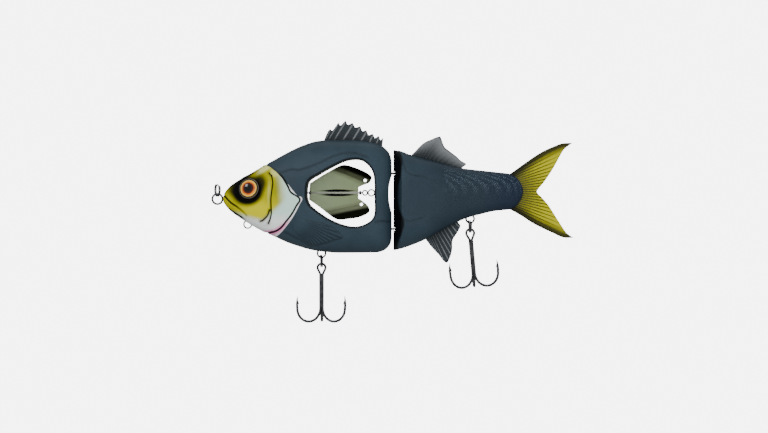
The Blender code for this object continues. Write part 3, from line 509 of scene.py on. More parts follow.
def frontPaintValues(mesh):
    x, z = placesOf(mesh)
    setValues(mesh, "plate", signedTo(gillPlate, x, z))
    setValues(mesh, "strip", np.maximum(signedTo(lowerStrip, x, z), signedTo(upperStrip, x, z)))
    # The rim value carries the painted shade in the window's rim.
    setValues(mesh, "rim", np.abs(signedTo(window, x, z)))
    # The line value carries the painted shade in the creases.
    creases = (windowCrease, bellyCrease, shoulderCrease)
    for name, lines in (("cheek", cheekLines), ("mouth", mouthLines), ("line", creases)):
        setValues(mesh, name, np.minimum.reduce([distanceTo(line, x, z) for line in lines]))
    # The fan value carries painted shade round the pectoral fin's edge and between its rays.
    inside, rays, reach = pectoralRays(x, z)
    outline = 0.4 * fade(np.abs(inside), 0.6, 0.1) * fade(x, 46, 54)
    rayGapShade = fade(inside, -0.1, 0.6) * (1 - rays) * fade(reach, 4, 11) * 0.5
    setValues(mesh, "fan", np.maximum(rayGapShade, outline))


def rearPaintValues(mesh):
    x, z = placesOf(mesh)
    # Painted shade on the slanted faces of the wedge nose.
    setValues(mesh, "noseBandShade", smoothLine(noseBand[::-1][:, [1, 0]], z) - x)
    # Painted shade in the rear body's creases.
    setValues(mesh, "crease", np.minimum(distanceTo(rearUpper, x, z), distanceTo(rearLower, x, z)))


# Body paint.

# Colours of the paint; any of them can be changed. groove is near black and paints shade into the window rim,
# the creases, the pectoral fin's gaps and the rear body's nose band; glint is a painted highlight on the
# scales.
paint = {"slate": shade(50, 66, 77), "slateDark": shade(40, 54, 64), "slateDeep": shade(33, 45, 56),
         "tailBlue": shade(24, 34, 54), "groove": shade(6, 9, 12), "glint": shade(104, 122, 136),
         "pale": shade(208, 242, 230), "white": shade(246, 250, 250), "cream": shade(236, 240, 150),
         "yellow": shade(214, 208, 0), "deepYellow": shade(176, 172, 0), "olive": shade(84, 84, 8),
         "black": shade(10, 11, 10), "pink": shade(238, 96, 176)}
paintFinish = {"rough": 0.46, "grainScale": 2400, "grainLow": 0.42, "grainHigh": 0.52}


def times(tree, *values):
    total = values[0]
    for value in values[1:]:
        total = maths(tree, "MULTIPLY", total, value)
    return total


# Lays colours over a base, each through its own mask.
def layered(tree, base, layers):
    for mask, colour in layers:
        base = mixed(tree, mask, base, colour)
    return base


def ovalField(tree, x, z, centre, sizes):
    across = maths(tree, "DIVIDE", maths(tree, "SUBTRACT", x, centre[0]), sizes[0])
    upward = maths(tree, "DIVIDE", maths(tree, "SUBTRACT", z, centre[1]), sizes[1])
    total = maths(tree, "ADD", times(tree, across, across), times(tree, upward, upward))
    return maths(tree, "SQRT", total)


def ovalMask(tree, x, z, centre, sizes, low, high, top=1):
    return stepped(tree, ovalField(tree, x, z, centre, sizes), low, high, 0, top)


def slopeField(tree, x, z, alongX, alongZ, offset=0):
    first = maths(tree, "MULTIPLY_ADD", x, alongX, offset)
    return maths(tree, "MULTIPLY_ADD", z, alongZ, first)


def slateGround(tree):
    cloud = stepped(tree, noiseOf(tree, 60), 0.35, 0.65, 0, 0.6)
    return mixed(tree, cloud, paint["slate"], paint["slateDark"])


def paintGrain(tree, shader):
    finish = paintFinish
    return grained(tree, shader, finish["grainScale"], finish["grainLow"], finish["grainHigh"])


# The head: pale gill cover, yellow cheek, black round the eye, along the brow and under the jaw.
def headColour(tree, x, z, plate):
    cheek, mouth = attributeOf(tree, "cheek"), attributeOf(tree, "mouth")
    pale = mixed(tree, stepped(tree, z, -7, -13), paint["pale"], paint["white"])
    bright = ovalMask(tree, x, z, (23.5, -7.5), (11, 6.5), 1.5, 0.4)
    yellow = mixed(tree, bright, paint["deepYellow"], paint["yellow"])
    back = stepped(tree, slopeField(tree, x, z, 1, 0.12), 42.2, 34)
    low = stepped(tree, slopeField(tree, x, z, 0.26, 1), -7.6, -3.4)
    hind = stepped(tree, slopeField(tree, x, z, -0.9, 1), -39, -33.5)
    ridge = slopeField(tree, x, z, -0.585, 1, -1.9)
    crown = times(tree, stepped(tree, ridge, -3.4, -1.4, 0, 0.9), stepped(tree, x, 21.5, 25.5))
    noseTop = times(tree, stepped(tree, ridge, -0.9, 0.9), stepped(tree, x, 25, 19))
    brow = times(tree, stepped(tree, ridge, 0.7, 1.5), stepped(tree, x, 31, 28))
    jaw = stepped(tree, slopeField(tree, x, z, 0.62, 1, 0.6), 0.2, -0.8)
    blush = times(tree, stepped(tree, plate, 2.2, 0.3), stepped(tree, z, -11, -16.5), 0.75)
    return layered(tree, pale, (
        (times(tree, back, low, hind), yellow),
        # A painted highlight along the ridge in front of the cheek line.
        (ovalMask(tree, x, z, (30.1, 3), (1.5, 9), 1, 0.3, 0.28), paint["cream"]),
        (ovalMask(tree, x, z, (34, 6), (2.8, 6), 1.3, 0.3, 0.3), paint["olive"]),
        (crown, paint["cream"]),
        (ovalMask(tree, x, z, (33.8, 15.2), (3.6, 3), 1.3, 0.4, 0.6), paint["cream"]),
        (ovalMask(tree, x, z, (24.6, 9), (5.4, 6.6), 1.15, 0.35, 0.94), paint["black"]),
        (ovalMask(tree, x, z, (17.6, 4.7), (10.4, 9.6), 1.06, 0.72), paint["black"]),
        (ovalMask(tree, x, z, (10.8, 5), (6.4, 4.4), 1.2, 0.3, 0.85), paint["black"]),
        (maths(tree, "MAXIMUM", noseTop, brow), paint["black"]),
        (times(tree, jaw, stepped(tree, x, 17.5, 13.5)), paint["black"]),
        (times(tree, stepped(tree, cheek, 1.8, 0.3, 0, 0.5), stepped(tree, x, 31.6, 30.4)), paint["olive"]),
        (blush, paint["pink"]),
        (stepped(tree, cheek, 0.55, 0.28, 0, 0.97), paint["black"]),
        (times(tree, stepped(tree, mouth, 0.85, 0.25), stepped(tree, x, 18, 9, 0.45, 0.97)), paint["black"])))


def frontPaint():
    material, tree, shader = newMaterial("frontPaint", paint["slate"], paintFinish["rough"])
    x, z = millimetres(tree)
    plate = attributeOf(tree, "plate")
    lines = stepped(tree, attributeOf(tree, "line"), 1.3, 0.1, 0, 0.32)
    # A strip behind the gill cover, pink towards the belly, then a black line round the cover.
    pinkness = times(tree, stepped(tree, z, -9, -16), stepped(tree, plate, -2.6, -0.6, 0.15, 0.9))
    strip = mixed(tree, pinkness, paint["white"], paint["pink"])
    edge = maths(tree, "ABSOLUTE", maths(tree, "ADD", plate, 0.25))
    edge = times(tree, stepped(tree, edge, 0.72, 0.36), stepped(tree, z, 15.6, 13, 0.35, 1),
                 stepped(tree, x, 25.5, 29.5))
    colour = layered(tree, slateGround(tree), (
        # Painted shade: near black in the window's rim.
        (stepped(tree, attributeOf(tree, "rim"), 1.5, 0.4, 0, 0.92), paint["groove"]),
        # Painted shade in the creases, round the pectoral fin and between its rays.
        (maths(tree, "MAXIMUM", lines, attributeOf(tree, "fan")), paint["groove"]),
        (stepped(tree, attributeOf(tree, "strip"), -0.1, 0.15), strip),
        (stepped(tree, plate, -0.05, 0.15), headColour(tree, x, z, plate)),
        (edge, paint["black"])))
    tree.links.new(colour, shader.inputs["Base Color"])
    tree.links.new(stepped(tree, plate, -0.3, 0.1, 0.3, 0.06), shader.inputs["Specular IOR Level"])
    bumped(tree, shader, paintGrain(tree, shader), 0.1, 0.0001)
    return material


def rearPaint():
    material, tree, shader = newMaterial("rearPaint", paint["slate"], paintFinish["rough"])
    x, z = millimetres(tree)
    crease = stepped(tree, attributeOf(tree, "crease"), 1, 0.1, 0, 0.26)
    # Fine scales with painted highlights, strongest along the upper flank.
    squeezed = nodeOf(tree, "ShaderNodeMapping")
    squeezed.inputs["Rotation"].default_value = (0, math.radians(38), 0)
    squeezed.inputs["Scale"].default_value = (1150, 1150, 800)
    tree.links.new(placeOf(tree), squeezed.inputs["Vector"])
    cells = nodeOf(tree, "ShaderNodeTexVoronoi", feature="F1")
    cells.inputs["Scale"].default_value = 1
    cells.inputs["Randomness"].default_value = 0.35
    tree.links.new(squeezed.outputs[0], cells.inputs["Vector"])
    flank = times(tree, stepped(tree, x, 120, 132), stepped(tree, z, -10, 6, 0.25, 1))
    scales = times(tree, maths(tree, "SUBTRACT", 1, cells.outputs["Distance"]), flank)
    glint = times(tree, stepped(tree, scales, 0.55, 0.95), stepped(tree, z, -2, 12, 0.05, 0.8))
    colour = layered(tree, slateGround(tree), (
        (stepped(tree, x, 104, 134, 0, 0.8), paint["slateDeep"]),
        (stepped(tree, x, 146, 170, 0, 0.75), paint["tailBlue"]),
        # Painted shade over the recessed side panel.
        (ovalMask(tree, x, z, (112, 1), (20, 12), 1.05, 0.75, 0.45), paint["slateDark"]),
        # Painted shade in the creases.
        (times(tree, crease, stepped(tree, x, 127, 112)), paint["groove"]),
        # Painted shade on the wedge nose's slanted faces.
        (stepped(tree, attributeOf(tree, "noseBandShade"), -1, 0.6), paint["groove"]),
        # Painted highlights on the scales.
        (glint, paint["glint"])))
    tree.links.new(colour, shader.inputs["Base Color"])
    height = maths(tree, "MULTIPLY_ADD", paintGrain(tree, shader), 0.25, scales)
    bumped(tree, shader, height, 0.5, 0.0003)
    return material


cell = 0.42
columns = 170

# Openings cut through the sides, and the hinge pockets in the rear body's nose.
through = (-30, 30)
pocket = {"half": 0.85, "radius": 2.3, "mouth": 4.55, "front": 97.1, "notch": 100.4}
windowCut = prism("windowCut", window, *through)
dip = {"x": 97.8, "depth": 1.9, "middle": 2.9, "half": 10.9, "back": 104}
dipOutline = [(dip["x"] + dip["depth"] * share * share, dip["middle"] + dip["half"] * share)
              for share in np.linspace(-1, 1, 17)]
dipOutline += [(dip["back"], dip["middle"] + dip["half"] * way) for way in (1, -1)]
dipCut = prism("dipCut", dipOutline, *through)
hingeX = 102.8
hingeLevels = (("upper", 14.6), ("lower", -17.1))
hingeCuts = []
for label, level in hingeLevels:
    outline = [(hingeX + pocket["radius"] * math.cos(turn), pocket["radius"] * math.sin(turn))
               for turn in np.radians(np.linspace(-90, 90, 13))]
    outline += [(pocket["front"], pocket["mouth"]), (pocket["front"], -pocket["mouth"])]
    hingeCuts.append(prism(label + "Pocket", outline, level - pocket["half"], level + pocket["half"], True))
    hingeCuts.append(prism(label + "Notch", circleOf(pocket["notch"], level, pocket["half"], 24), *through))

frontCuts = [windowCut, dipCut]
# Part, body, outlines and half width, ends and rounding, relief, material, cuts, painted values.
halves = (("front", "root", (frontTop, frontBottom, lambda x: smoothLine(frontHalf, x)), (3.3, 99.6, 0.9),
           frontHeights, frontPaint(), frontCuts, frontPaintValues),
          ("rear", "rear_body", (rearTop, rearBottom, wedgeHalf), (100.6, 174.6, 0.7),
           rearHeights, rearPaint(), hingeCuts, rearPaintValues))
for label, side in (("left", -1), ("right", 1)):
    for part, body, lines, ends, relief, material, cuts, valued in halves:
        places = bodyPlaces(*lines, *ends, side, cell, columns, relief)
        piece = halfBody(f"{part}_body_{label}", body, f"{part}_shell_{label}", places, material)
        cutWith(piece, cuts, bodySharp)
        valued(piece.data)
for cutter in frontCuts + hingeCuts:
    bpy.data.objects.remove(cutter)
print("bodies made")


# Eyes.

eyeSizes = {"radius": 5.9, "dome": 1.6, "depth": 2.2, "turnDegrees": 14, "riseDegrees": 12, "sharp": 50}
# Where each ring of the iris starts and ends, from the middle of the eye.
eyeRings = {"pupil": (2.2, 1.8), "dark": (3.2, 2.8), "deep": (3.7, 3.2), "pale": (3.9, 4.4),
            "surround": (4.6, 4.85)}
# The last colour, for the rim round the eye, is a painted reflection.
eyeColours = {"pupil": shade(5, 5, 6), "dark": shade(58, 16, 7), "deep": shade(170, 66, 8),
              "gold": shade(255, 160, 14), "amber": shade(232, 108, 6), "pale": shade(255, 206, 80),
              "surround": shade(10, 9, 9), "rimReflection": shade(150, 140, 120)}


def eyeMaterial(name):
    material, tree, shader = newMaterial(name, shade(12, 10, 9), 0.12, 0, 1)
    ring = attributeOf(tree, "ring")
    layers = {key: (stepped(tree, ring, *ends), eyeColours[key]) for key, ends in eyeRings.items()}
    speckle = stepped(tree, noiseOf(tree, 900), 0.38, 0.62)
    gold = layered(tree, eyeColours["gold"], ((speckle, eyeColours["amber"]), layers["deep"], layers["pale"]))
    colour = layered(tree, gold, (layers["dark"], layers["pupil"], layers["surround"]))
    # A painted reflection: a lighter ring on the rim round the eye.
    rimReflection = times(tree, stepped(tree, ring, 5.3, 5.5), stepped(tree, ring, 5.9, 5.65, 0, 0.35))
    tree.links.new(mixed(tree, rimReflection, colour, eyeColours["rimReflection"]), shader.inputs["Base Color"])
    # A painted glow: the gold ring gives off a little light of its own.
    irisGlow = times(tree, stepped(tree, ring, 3.2, 3.7, 0, 0.08), stepped(tree, ring, 4.75, 4.5))
    tree.links.new(mixed(tree, irisGlow, (0, 0, 0, 1), gold), shader.inputs["Emission Color"])
    shader.inputs["Emission Strength"].default_value = 1
    return material


radius, dome = eyeSizes["radius"], eyeSizes["dome"]
turn, rise = math.radians(eyeSizes["turnDegrees"]), math.radians(eyeSizes["riseDegrees"])
curve = (radius ** 2 + dome ** 2) / (2 * dome)
outline = [(0, -eyeSizes["depth"]), (radius * 0.98, -eyeSizes["depth"]), (radius, -0.15)]
for reach in radius * np.linspace(0.985, 0, 22):
    outline.append((reach, math.sqrt(curve * curve - reach * reach) - curve + dome))
for label, side in (("left", -1), ("right", 1)):
    bm = bmesh.new()
    verts = [bm.verts.new((reach * mm, 0, height * mm)) for reach, height in outline]
    edges = [bm.edges.new(pair) for pair in zip(verts, verts[1:])]
    bmesh.ops.spin(bm, geom=verts + edges, cent=(0, 0, 0), axis=(0, 0, 1), angle=2 * math.pi, steps=48,
                   use_merge=True)
    bmesh.ops.remove_doubles(bm, verts=bm.verts, dist=1e-6)
    rings = bm.verts.layers.float.new("ring")
    for vert in bm.verts:
        vert[rings] = math.hypot(vert.co.x, vert.co.y) / mm
    facing = Vector((-math.sin(turn), side * math.cos(turn), math.tan(rise))).normalized()
    corners = [vert.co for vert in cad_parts["eye_" + label].data.vertices]
    centre = sum(corners, Vector()) / len(corners)
    centre += facing * (max(corner.dot(facing) for corner in corners) - dome * mm - centre.dot(facing))
    place = Matrix.Translation(centre) @ facing.to_track_quat("Z", "Y").to_matrix().to_4x4()
    bmesh.ops.transform(bm, matrix=place, verts=bm.verts)
    material = eyeMaterial("eyePaint_" + label)
    addPiece("lure_eye_" + label, bm, material, "root", ("eye_" + label,), eyeSizes["sharp"])
print("eyes made")




# Soft fins.

# Points at given stations of a path whose own points have the stations in run.
def alongRun(path, run, stations):
    return np.stack([np.interp(stations, run, path[:, axis]) for axis in (0, 1)], axis=-1)


# A fin is a sheet between a root line and an edge line, thickest at the root and thin at the edge.
def finPiece(name, body, material, root, edge, sizes, first=None, last=None):
    columns, rows = sizes["columns"], sizes["rows"]
    us, vs = np.linspace(0, 1, columns), np.linspace(0, 1, rows)

    def along(path, shares):
        path = np.array(path, float)
        return alongRun(path, np.linspace(0, 1, len(path)), shares)

    base, top = along(root, us), along(edge, us)
    left = along([base[0], top[0]] if first is None else first, vs)
    right = along([base[-1], top[-1]] if last is None else last, vs)
    u, v = us[None, :, None], vs[:, None, None]
    flat = ((1 - v) * base[None] + v * top[None] + (1 - u) * left[:, None] + u * right[:, None]
            - (1 - u) * (1 - v) * base[0] - u * (1 - v) * base[-1] - (1 - u) * v * top[0] - u * v * top[-1])
    phase = us * sizes["rays"]
    ridge = (0.5 + 0.5 * np.cos(2 * math.pi * phase))[None, :] * fade(vs, 1, 0.93)[:, None]
    border = fade(np.minimum(us, 1 - us), 0, sizes["border"])[None, :] * fade(vs, 1, 0.94)[:, None] ** 0.5
    half = sizes["half"] * (sizes["tip"] + (1 - sizes["tip"]) * (1 - vs[:, None]) ** 0.8)
    depth = half * (0.72 + 0.28 * ridge) * np.sqrt(border)
    bm = bmesh.new()
    phases = bm.verts.layers.float.new("phase")
    reaches = bm.verts.layers.float.new("reach")
    shares = bm.verts.layers.float.new("share")
    for side in (-1, 1):
        places = np.stack((flat[..., 0], side * depth, flat[..., 1]), axis=-1)
        for vert in gridPiece(bm, places):
            index = np.argmin(np.abs(flat[..., 0] - vert.co.x / mm) + np.abs(flat[..., 1] - vert.co.z / mm))
            row, column = divmod(int(index), columns)
            vert[phases], vert[reaches], vert[shares] = phase[column], vs[row], us[column]
    bmesh.ops.remove_doubles(bm, verts=bm.verts, dist=3e-6)
    bmesh.ops.holes_fill(bm, edges=[e for e in bm.edges if e.is_boundary], sides=0)
    return addPiece(name, bm, material, body, (name.replace("soft_", ""),), 60)


# Colours run from the root to the edge, with the rays lighter or darker than the web between them.
def finMaterial(name, root, edge, ray, rayRange, rayShare, border, roughness=0.5):
    material, tree, shader = newMaterial(name, root, roughness)
    reach, share = attributeOf(tree, "reach"), attributeOf(tree, "share")
    colour = mixed(tree, stepped(tree, reach, *rayRange[:2]), root, edge)
    wave = maths(tree, "PINGPONG", attributeOf(tree, "phase"), 0.5)
    line = stepped(tree, wave, rayRange[2], rayRange[3])
    strength = times(tree, line, stepped(tree, reach, *rayShare))
    fromTip = maths(tree, "SUBTRACT", 1, reach)
    fromEdge = maths(tree, "MINIMUM", fromTip, maths(tree, "PINGPONG", share, 0.5))
    colour = layered(tree, colour, ((strength, ray), (stepped(tree, fromEdge, 0.09, 0.02, 0, 0.8), border)))
    tree.links.new(colour, shader.inputs["Base Color"])
    height = grained(tree, shader, 1800, roughness - 0.06, roughness + 0.08)
    bumped(tree, shader, height, 0.12, 0.0001)
    return material


softGrey = {"dark": shade(36, 42, 46), "mid": shade(46, 53, 58), "light": shade(132, 136, 139),
            "black": shade(20, 23, 26)}
dorsalTips = (
    (64.4, 40), (69.2, 43.7), (73.3, 44.8), (77.5, 43.4), (81.8, 41.4), (85.3, 39.1), (89, 37.1),
    (92.4, 36), (94.8, 34.8))
webs = len(dorsalTips) + 1
dorsalSizes = {"columns": 16 * webs + 1, "rows": 26, "rays": webs, "half": 0.64, "tip": 0.35, "border": 0.015}
# How far a spine leans back, how deep the web sags behind it, and how far the root is sunk.
dorsalShape = {"lean": 0.62, "sag": 1.9, "sunk": 1.2, "first": (60.9, 33.5), "firstFoot": 61}
knots = [(dorsalShape["first"], dorsalShape["firstFoot"])]
knots += [((x, z), max(61.2, x - (z - 33) * dorsalShape["lean"])) for x, z in dorsalTips]
edgePath, rootFeet = [dorsalShape["first"]], [dorsalShape["firstFoot"]]
for index, (((px, pz), pfoot), ((x, z), foot)) in enumerate(zip(knots, knots[1:])):
    for share in np.linspace(0, 1, 9)[1:]:
        if index:
            sag = dorsalShape["sag"] * min(share / 0.25, 1) * (1 - fade(share, 0.25, 1))
            height = pz + (z - pz) * share - sag
        else:
            height = pz + (z - pz) * (0.25 * share + 0.75 * math.sin(share * math.pi / 2))
        edgePath.append((px + (x - px) * share, height))
        rootFeet.append(pfoot + (foot - pfoot) * share)
for share in np.linspace(0, 1, 9)[1:]:
    edgePath.append((94.8 - 0.5 * share, 34.8 - 4.6 * share))
    rootFeet.append(92.6 + 1.7 * share)
rootPath = [(x, float(smoothLine(frontTop, np.array(x))) - dorsalShape["sunk"]) for x in rootFeet]
dorsalMaterial = finMaterial("dorsalSoft", softGrey["dark"], softGrey["mid"], softGrey["light"],
                             (0.1, 1, 0.13, 0.04), (0.05, 0.35, 0.1, 0.6), softGrey["black"])
finPiece("soft_front_dorsal_fin", "root", dorsalMaterial, rootPath, edgePath, dorsalSizes)


def plainFin(name, baseLine, base, edge, out, columns, rays, material):
    path = smoothPath(edge, 6)
    path = path[np.concatenate(([True], np.hypot(*np.diff(path, axis=0).T) > 1e-6))]
    run = np.concatenate(([0], np.cumsum(np.hypot(*np.diff(path, axis=0).T))))
    shares = np.linspace(0, 1, 90)
    feet = base[0] + (base[1] - base[0]) * shares ** 1.7
    rootLine = np.stack((feet, smoothLine(baseLine, feet) - out * 1.4), axis=-1)
    sizes = {"columns": columns, "rows": 40, "rays": rays, "half": 0.64, "tip": 0.3, "border": 0.02}
    edgeLine = alongRun(path, run, shares * run[-1])
    return finPiece(name, "rear_body", material, rootLine, edgeLine, sizes)


rearDorsalEdge = (
    (111, 25.4), (112.8, 27.1), (117.5, 31.8), (122.6, 34.3), (126.4, 35.7), (127.7, 35.2), (129.7, 30),
    (132.7, 27.4), (136.6, 24.4), (139, 22.1), (142.2, 20.1), (141.2, 18.9), (139.6, 18))
analEdge = (
    (118.9, -22.9), (122, -27), (126.9, -32.4), (129.5, -35.7), (131.7, -36), (134, -30), (134.5, -23.6),
    (137, -19.4), (139, -15.3), (137.4, -13.7))
rearDorsalMaterial = finMaterial("rearDorsalSoft", softGrey["dark"], softGrey["light"], softGrey["black"],
                                 (0.1, 1.3, 0.14, 0.04), (0.1, 0.75, 0.8, 0), softGrey["black"])
analMaterial = finMaterial("analSoft", softGrey["dark"], softGrey["mid"], softGrey["light"],
                           (0, 1, 0.17, 0.05), (0.1, 0.6, 0.2, 0.62), softGrey["black"])
plainFin("soft_rear_dorsal_fin", rearTop, (111, 139.6), rearDorsalEdge, 1, 150, 15, rearDorsalMaterial)
plainFin("soft_anal_fin", rearBottom, (118.9, 137.4), analEdge, -1, 130, 13, analMaterial)

# The tail fans out between its two leading edges.
tailUpper = smoothPath((
    (166.4, 14.6), (167.6, 14.7), (177.5, 21.8), (185.5, 27), (193.5, 30.6), (197.5, 31.9),
    (202.9, 32.1)), 6)
tailTrail = smoothPath((
    (202.9, 32.1), (198.4, 28.6), (196, 24.9), (192.7, 18.9), (189.5, 13.7), (186.4, 9.3), (182.9, 5),
    (183.1, 3.2), (185.5, 0.8), (189.5, -4), (193.5, -10.3), (196.8, -15.4), (199.6, -19.4),
    (203.6, -22.2)), 6)
tailLower = smoothPath((
    (166.4, -6), (167.6, -6.2), (173.5, -9.5), (179.6, -13.5), (185.5, -16.6), (191.6, -19.4), (197.5, -22),
    (203.6, -22.2)), 6)
tailRoot = [(166.4, z) for z in np.linspace(14.6, -6, 40)]
tailColours = {"yellow": shade(188, 184, 0), "ray": shade(36, 34, 2), "root": shade(40, 42, 30),
               "edge": shade(22, 23, 12), "tip": shade(150, 146, 60)}
tailSizes = {"columns": 181, "rows": 50, "rays": 17, "half": 0.78, "tip": 0.3, "border": 0.012}
# The rays spread from this point, one every so many degrees.
tailRays = {"from": (150, 4.2), "degrees": 2.7}


def tailPaint():
    material, tree, shader = newMaterial("tailSoft", tailColours["yellow"], 0.42)
    x, z = millimetres(tree)
    away = ovalField(tree, x, z, (163.5, 4.2), (1, 1))
    line = stepped(tree, maths(tree, "PINGPONG", attributeOf(tree, "phase"), 0.5), 0.25, 0.06)
    colour = layered(tree, tailColours["yellow"], (
        (stepped(tree, x, 197, 203.5, 0, 0.6), tailColours["tip"]),
        (times(tree, line, stepped(tree, away, 46, 20)), tailColours["ray"]),
        (stepped(tree, away, 29, 8, 0, 0.8), tailColours["root"]),
        (stepped(tree, attributeOf(tree, "edge"), 6.2, 1.2, 0, 0.95), tailColours["edge"])))
    tree.links.new(colour, shader.inputs["Base Color"])
    bumped(tree, shader, grained(tree, shader, 1800, 0.36, 0.48), 0.12, 0.0001)
    return material


tail = finPiece("soft_tail_fin", "rear_body", tailPaint(), tailRoot, tailTrail, tailSizes,
                tailUpper, tailLower).data
x, z = placesOf(tail)
headings = np.degrees(np.arctan2(z - tailRays["from"][1], x - tailRays["from"][0])) / tailRays["degrees"]
tail.attributes["phase"].data.foreach_set("value", headings.astype(np.float32))
setValues(tail, "edge", np.minimum(distanceTo(tailUpper, x, z), distanceTo(tailLower, x, z)))
print("fins made")


# Metal.

def metalMaterial(name, colour, low, high, dirt):
    material, tree, shader = newMaterial(name, colour, 0.25, 1)
    patches = stepped(tree, noiseOf(tree, 260), 0.4, 0.62)
    tree.links.new(mixed(tree, patches, colour, dirt), shader.inputs["Base Color"])
    bumped(tree, shader, grained(tree, shader, 3000, low, high), 0.06, 0.00005)
    return material


darkNickel = metalMaterial("darkNickel", shade(132, 135, 138), 0.22, 0.34, shade(98, 101, 105))
brightWire = metalMaterial("brightWire", shade(158, 160, 162), 0.16, 0.26, shade(104, 107, 110))
linkWire = metalMaterial("linkWire", shade(84, 85, 82), 0.2, 0.3, shade(56, 57, 56))
sides = 18
wireSharp = 50


def circlePath(centre, radius, normal, steps=56):
    turn = Vector(normal).to_track_quat("Z", "Y").to_matrix()
    angles = [2 * math.pi * step / steps for step in range(steps)]
    return [Vector(centre) + turn @ Vector((math.cos(a), math.sin(a), 0)) * radius for a in angles]


# A wire eye: a loop whose two ends close into a shank that runs into the body.
def wireEye(name, node, body, centre, normal, inward, radius, wire, shank):
    bm = bmesh.new()
    tubeInto(bm, circlePath(centre, radius, normal), wire, sides, True)
    centre, inward = Vector(centre), Vector(inward).normalized()
    start = centre + inward * radius
    tubeInto(bm, [start - inward * wire * 0.4, start + inward * 0.6, start + inward * shank],
             [wire * 0.95, wire * 1.15, wire * 1.15], sides)
    return addPiece(name, bm, brightWire, body, (node,), wireSharp)


frontHang, rearHang = 59.5, 144.4
chinInward = Vector((3.2, 0, 5.1)).normalized()
chinPlace = Vector((17.8, 0, float(smoothLine(frontBottom, np.array(17.8))))) - chinInward * 0.9
# Piece, node, body, centre, the loop's axis, the way its shank runs, loop radius, wire radius, shank.
across, upright = (0, 1, 0), (0, 0, 1)
for eye in (("nose_wire", "nose_eye", "root", (0, 0, 0), across, (1, 0, 0), 2.9, 0.6, 6),
            ("chin_wire", "chin_eye", "root", chinPlace, across, chinInward, 2.2, 0.45, 4),
            ("belly_wire", "belly_hanger", "root", (frontHang, 0, -31.0138), across, upright, 2.3, 0.55, 5),
            ("rear_belly_wire", "rear_hanger", "rear_body", (rearHang, 0, -11.3062), across, upright, 2.3,
             0.55, 5)):
    wireEye(*eye)
for label, level in hingeLevels:
    place = (hingeX, 0, level)
    wireEye("hinge_wire_" + label, "hinge_eye_" + label, "root", place, upright, (-1, 0, 0), 1.45, 0.55, 8)


# A split ring: nearly two turns of flattened spring wire.
ringSizes = {"turns": 1.9, "width": 1.52, "radius": 3.3, "wire": 0.38, "tip": 0.55}


def splitRing(name, node, body, centre, turnDegrees):
    turn = Matrix.Rotation(math.radians(turnDegrees), 3, "Z")
    path, radii = [], []
    for share in np.arange(97) / 96:
        angle = 2 * math.pi * ringSizes["turns"] * share
        local = Vector((ringSizes["width"] * (share - 0.5), ringSizes["radius"] * math.sin(angle),
                        ringSizes["radius"] * math.cos(angle)))
        path.append(Vector(centre) + turn @ local)
        taper = float(fade(min(share, 1 - share), 0, 0.012))
        radii.append(ringSizes["wire"] * (ringSizes["tip"] + (1 - ringSizes["tip"]) * taper))
    bm = bmesh.new()
    tubeInto(bm, path, radii, sides)
    return addPiece(name, bm, brightWire, body, (node,), wireSharp)


splitRing("nose_split_ring", "nose_ring", "nose_ring", (0, 0, 4.92), 22)
splitRing("front_ring_wire", "front_split_ring", "front_ring", (frontHang, 0, -35.3838), 0)
splitRing("rear_ring_wire", "rear_split_ring", "rear_ring", (rearHang, 0, -15.6762), 0)


# A treble hook: an eye, a brazed shank of three wires, and three bends with barbed points.
hookSizes = {"wire": 0.76, "length": 33.6, "gape": 14.9, "eyeHalf": 2.25, "eyeHeight": 6.6, "rise": 15.5,
             "braze": 0.95, "hang": 1.722}


def trebleHook(name, node, body, ringLow, lean):
    wire, half, length = hookSizes["wire"], hookSizes["eyeHalf"], hookSizes["length"]
    bm = bmesh.new()
    eye = [(half * math.cos(angle), 0, half * (math.sin(angle) - 1))
           for angle in np.radians(np.linspace(-30, 210, 34))]
    below, neckTop = -hookSizes["eyeHeight"], -1.5 * half
    neck = []
    for share in np.linspace(0.12, 1, 8):
        reach = half * math.cos(math.radians(210)) * (1 - share) - 0.5 * wire * share
        neck.append((reach, 0, neckTop + (below - neckTop) * share))
    tubeInto(bm, eye + neck + [(-x, y, z) for x, y, z in reversed(neck)], wire * 0.92, sides, True)
    inner, bend = wire * 0.95, hookSizes["gape"] / 2
    bendDown = length - wire - bend * 1.02
    out, tip = inner + hookSizes["gape"], hookSizes["rise"] - length
    profile = [(inner, below + 1), (inner, below - 3), (inner, -bendDown * 0.6), (inner, -bendDown * 0.86)]
    for angle in np.linspace(0, math.pi, 33):
        profile.append((inner + bend * (1 - math.cos(angle)), -bendDown - bend * 1.02 * math.sin(angle)))
    radii = [wire] * len(profile) + [wire * share for share in (0.98, 0.92, 0.6, 0.3, 0.08)]
    profile += [(out + 0.1, tip - 6), (out + 0.2, tip - 4.5), (out + 0.1, tip - 2.2), (out - 0.15, tip - 0.9),
                (out - 0.4, tip)]
    barb = [(out - 0.1, tip - 3), (out - 0.55, tip - 4), (out - 1.25, tip - 5.1)]
    for heading in np.radians((90, 210, 330)):
        direction = Vector((math.cos(heading), math.sin(heading), 0))
        for line, widths, turns in ((profile, radii, sides), (barb, [0.5, 0.42, 0.06], 10)):
            tubeInto(bm, [direction * r + Vector((0, 0, z)) for r, z in line], widths, turns)
    # Braze between the three shanks.
    braze = ((below + 0.8, 0.7), (below - 1, hookSizes["braze"]), (1 - bendDown, hookSizes["braze"]),
             (-bendDown - 1.4, 0.3))
    tubeInto(bm, [(0, 0, z) for z, radius in braze], [radius for z, radius in braze], sides)
    place = (Matrix.Translation(Vector(ringLow) * mm) @ Matrix.Rotation(math.radians(-lean), 4, "Y")
             @ Matrix.Translation((0, 0, hookSizes["hang"] * mm)))
    bmesh.ops.transform(bm, matrix=place, verts=bm.verts)
    return addPiece(name, bm, darkNickel, body, (node,), wireSharp)


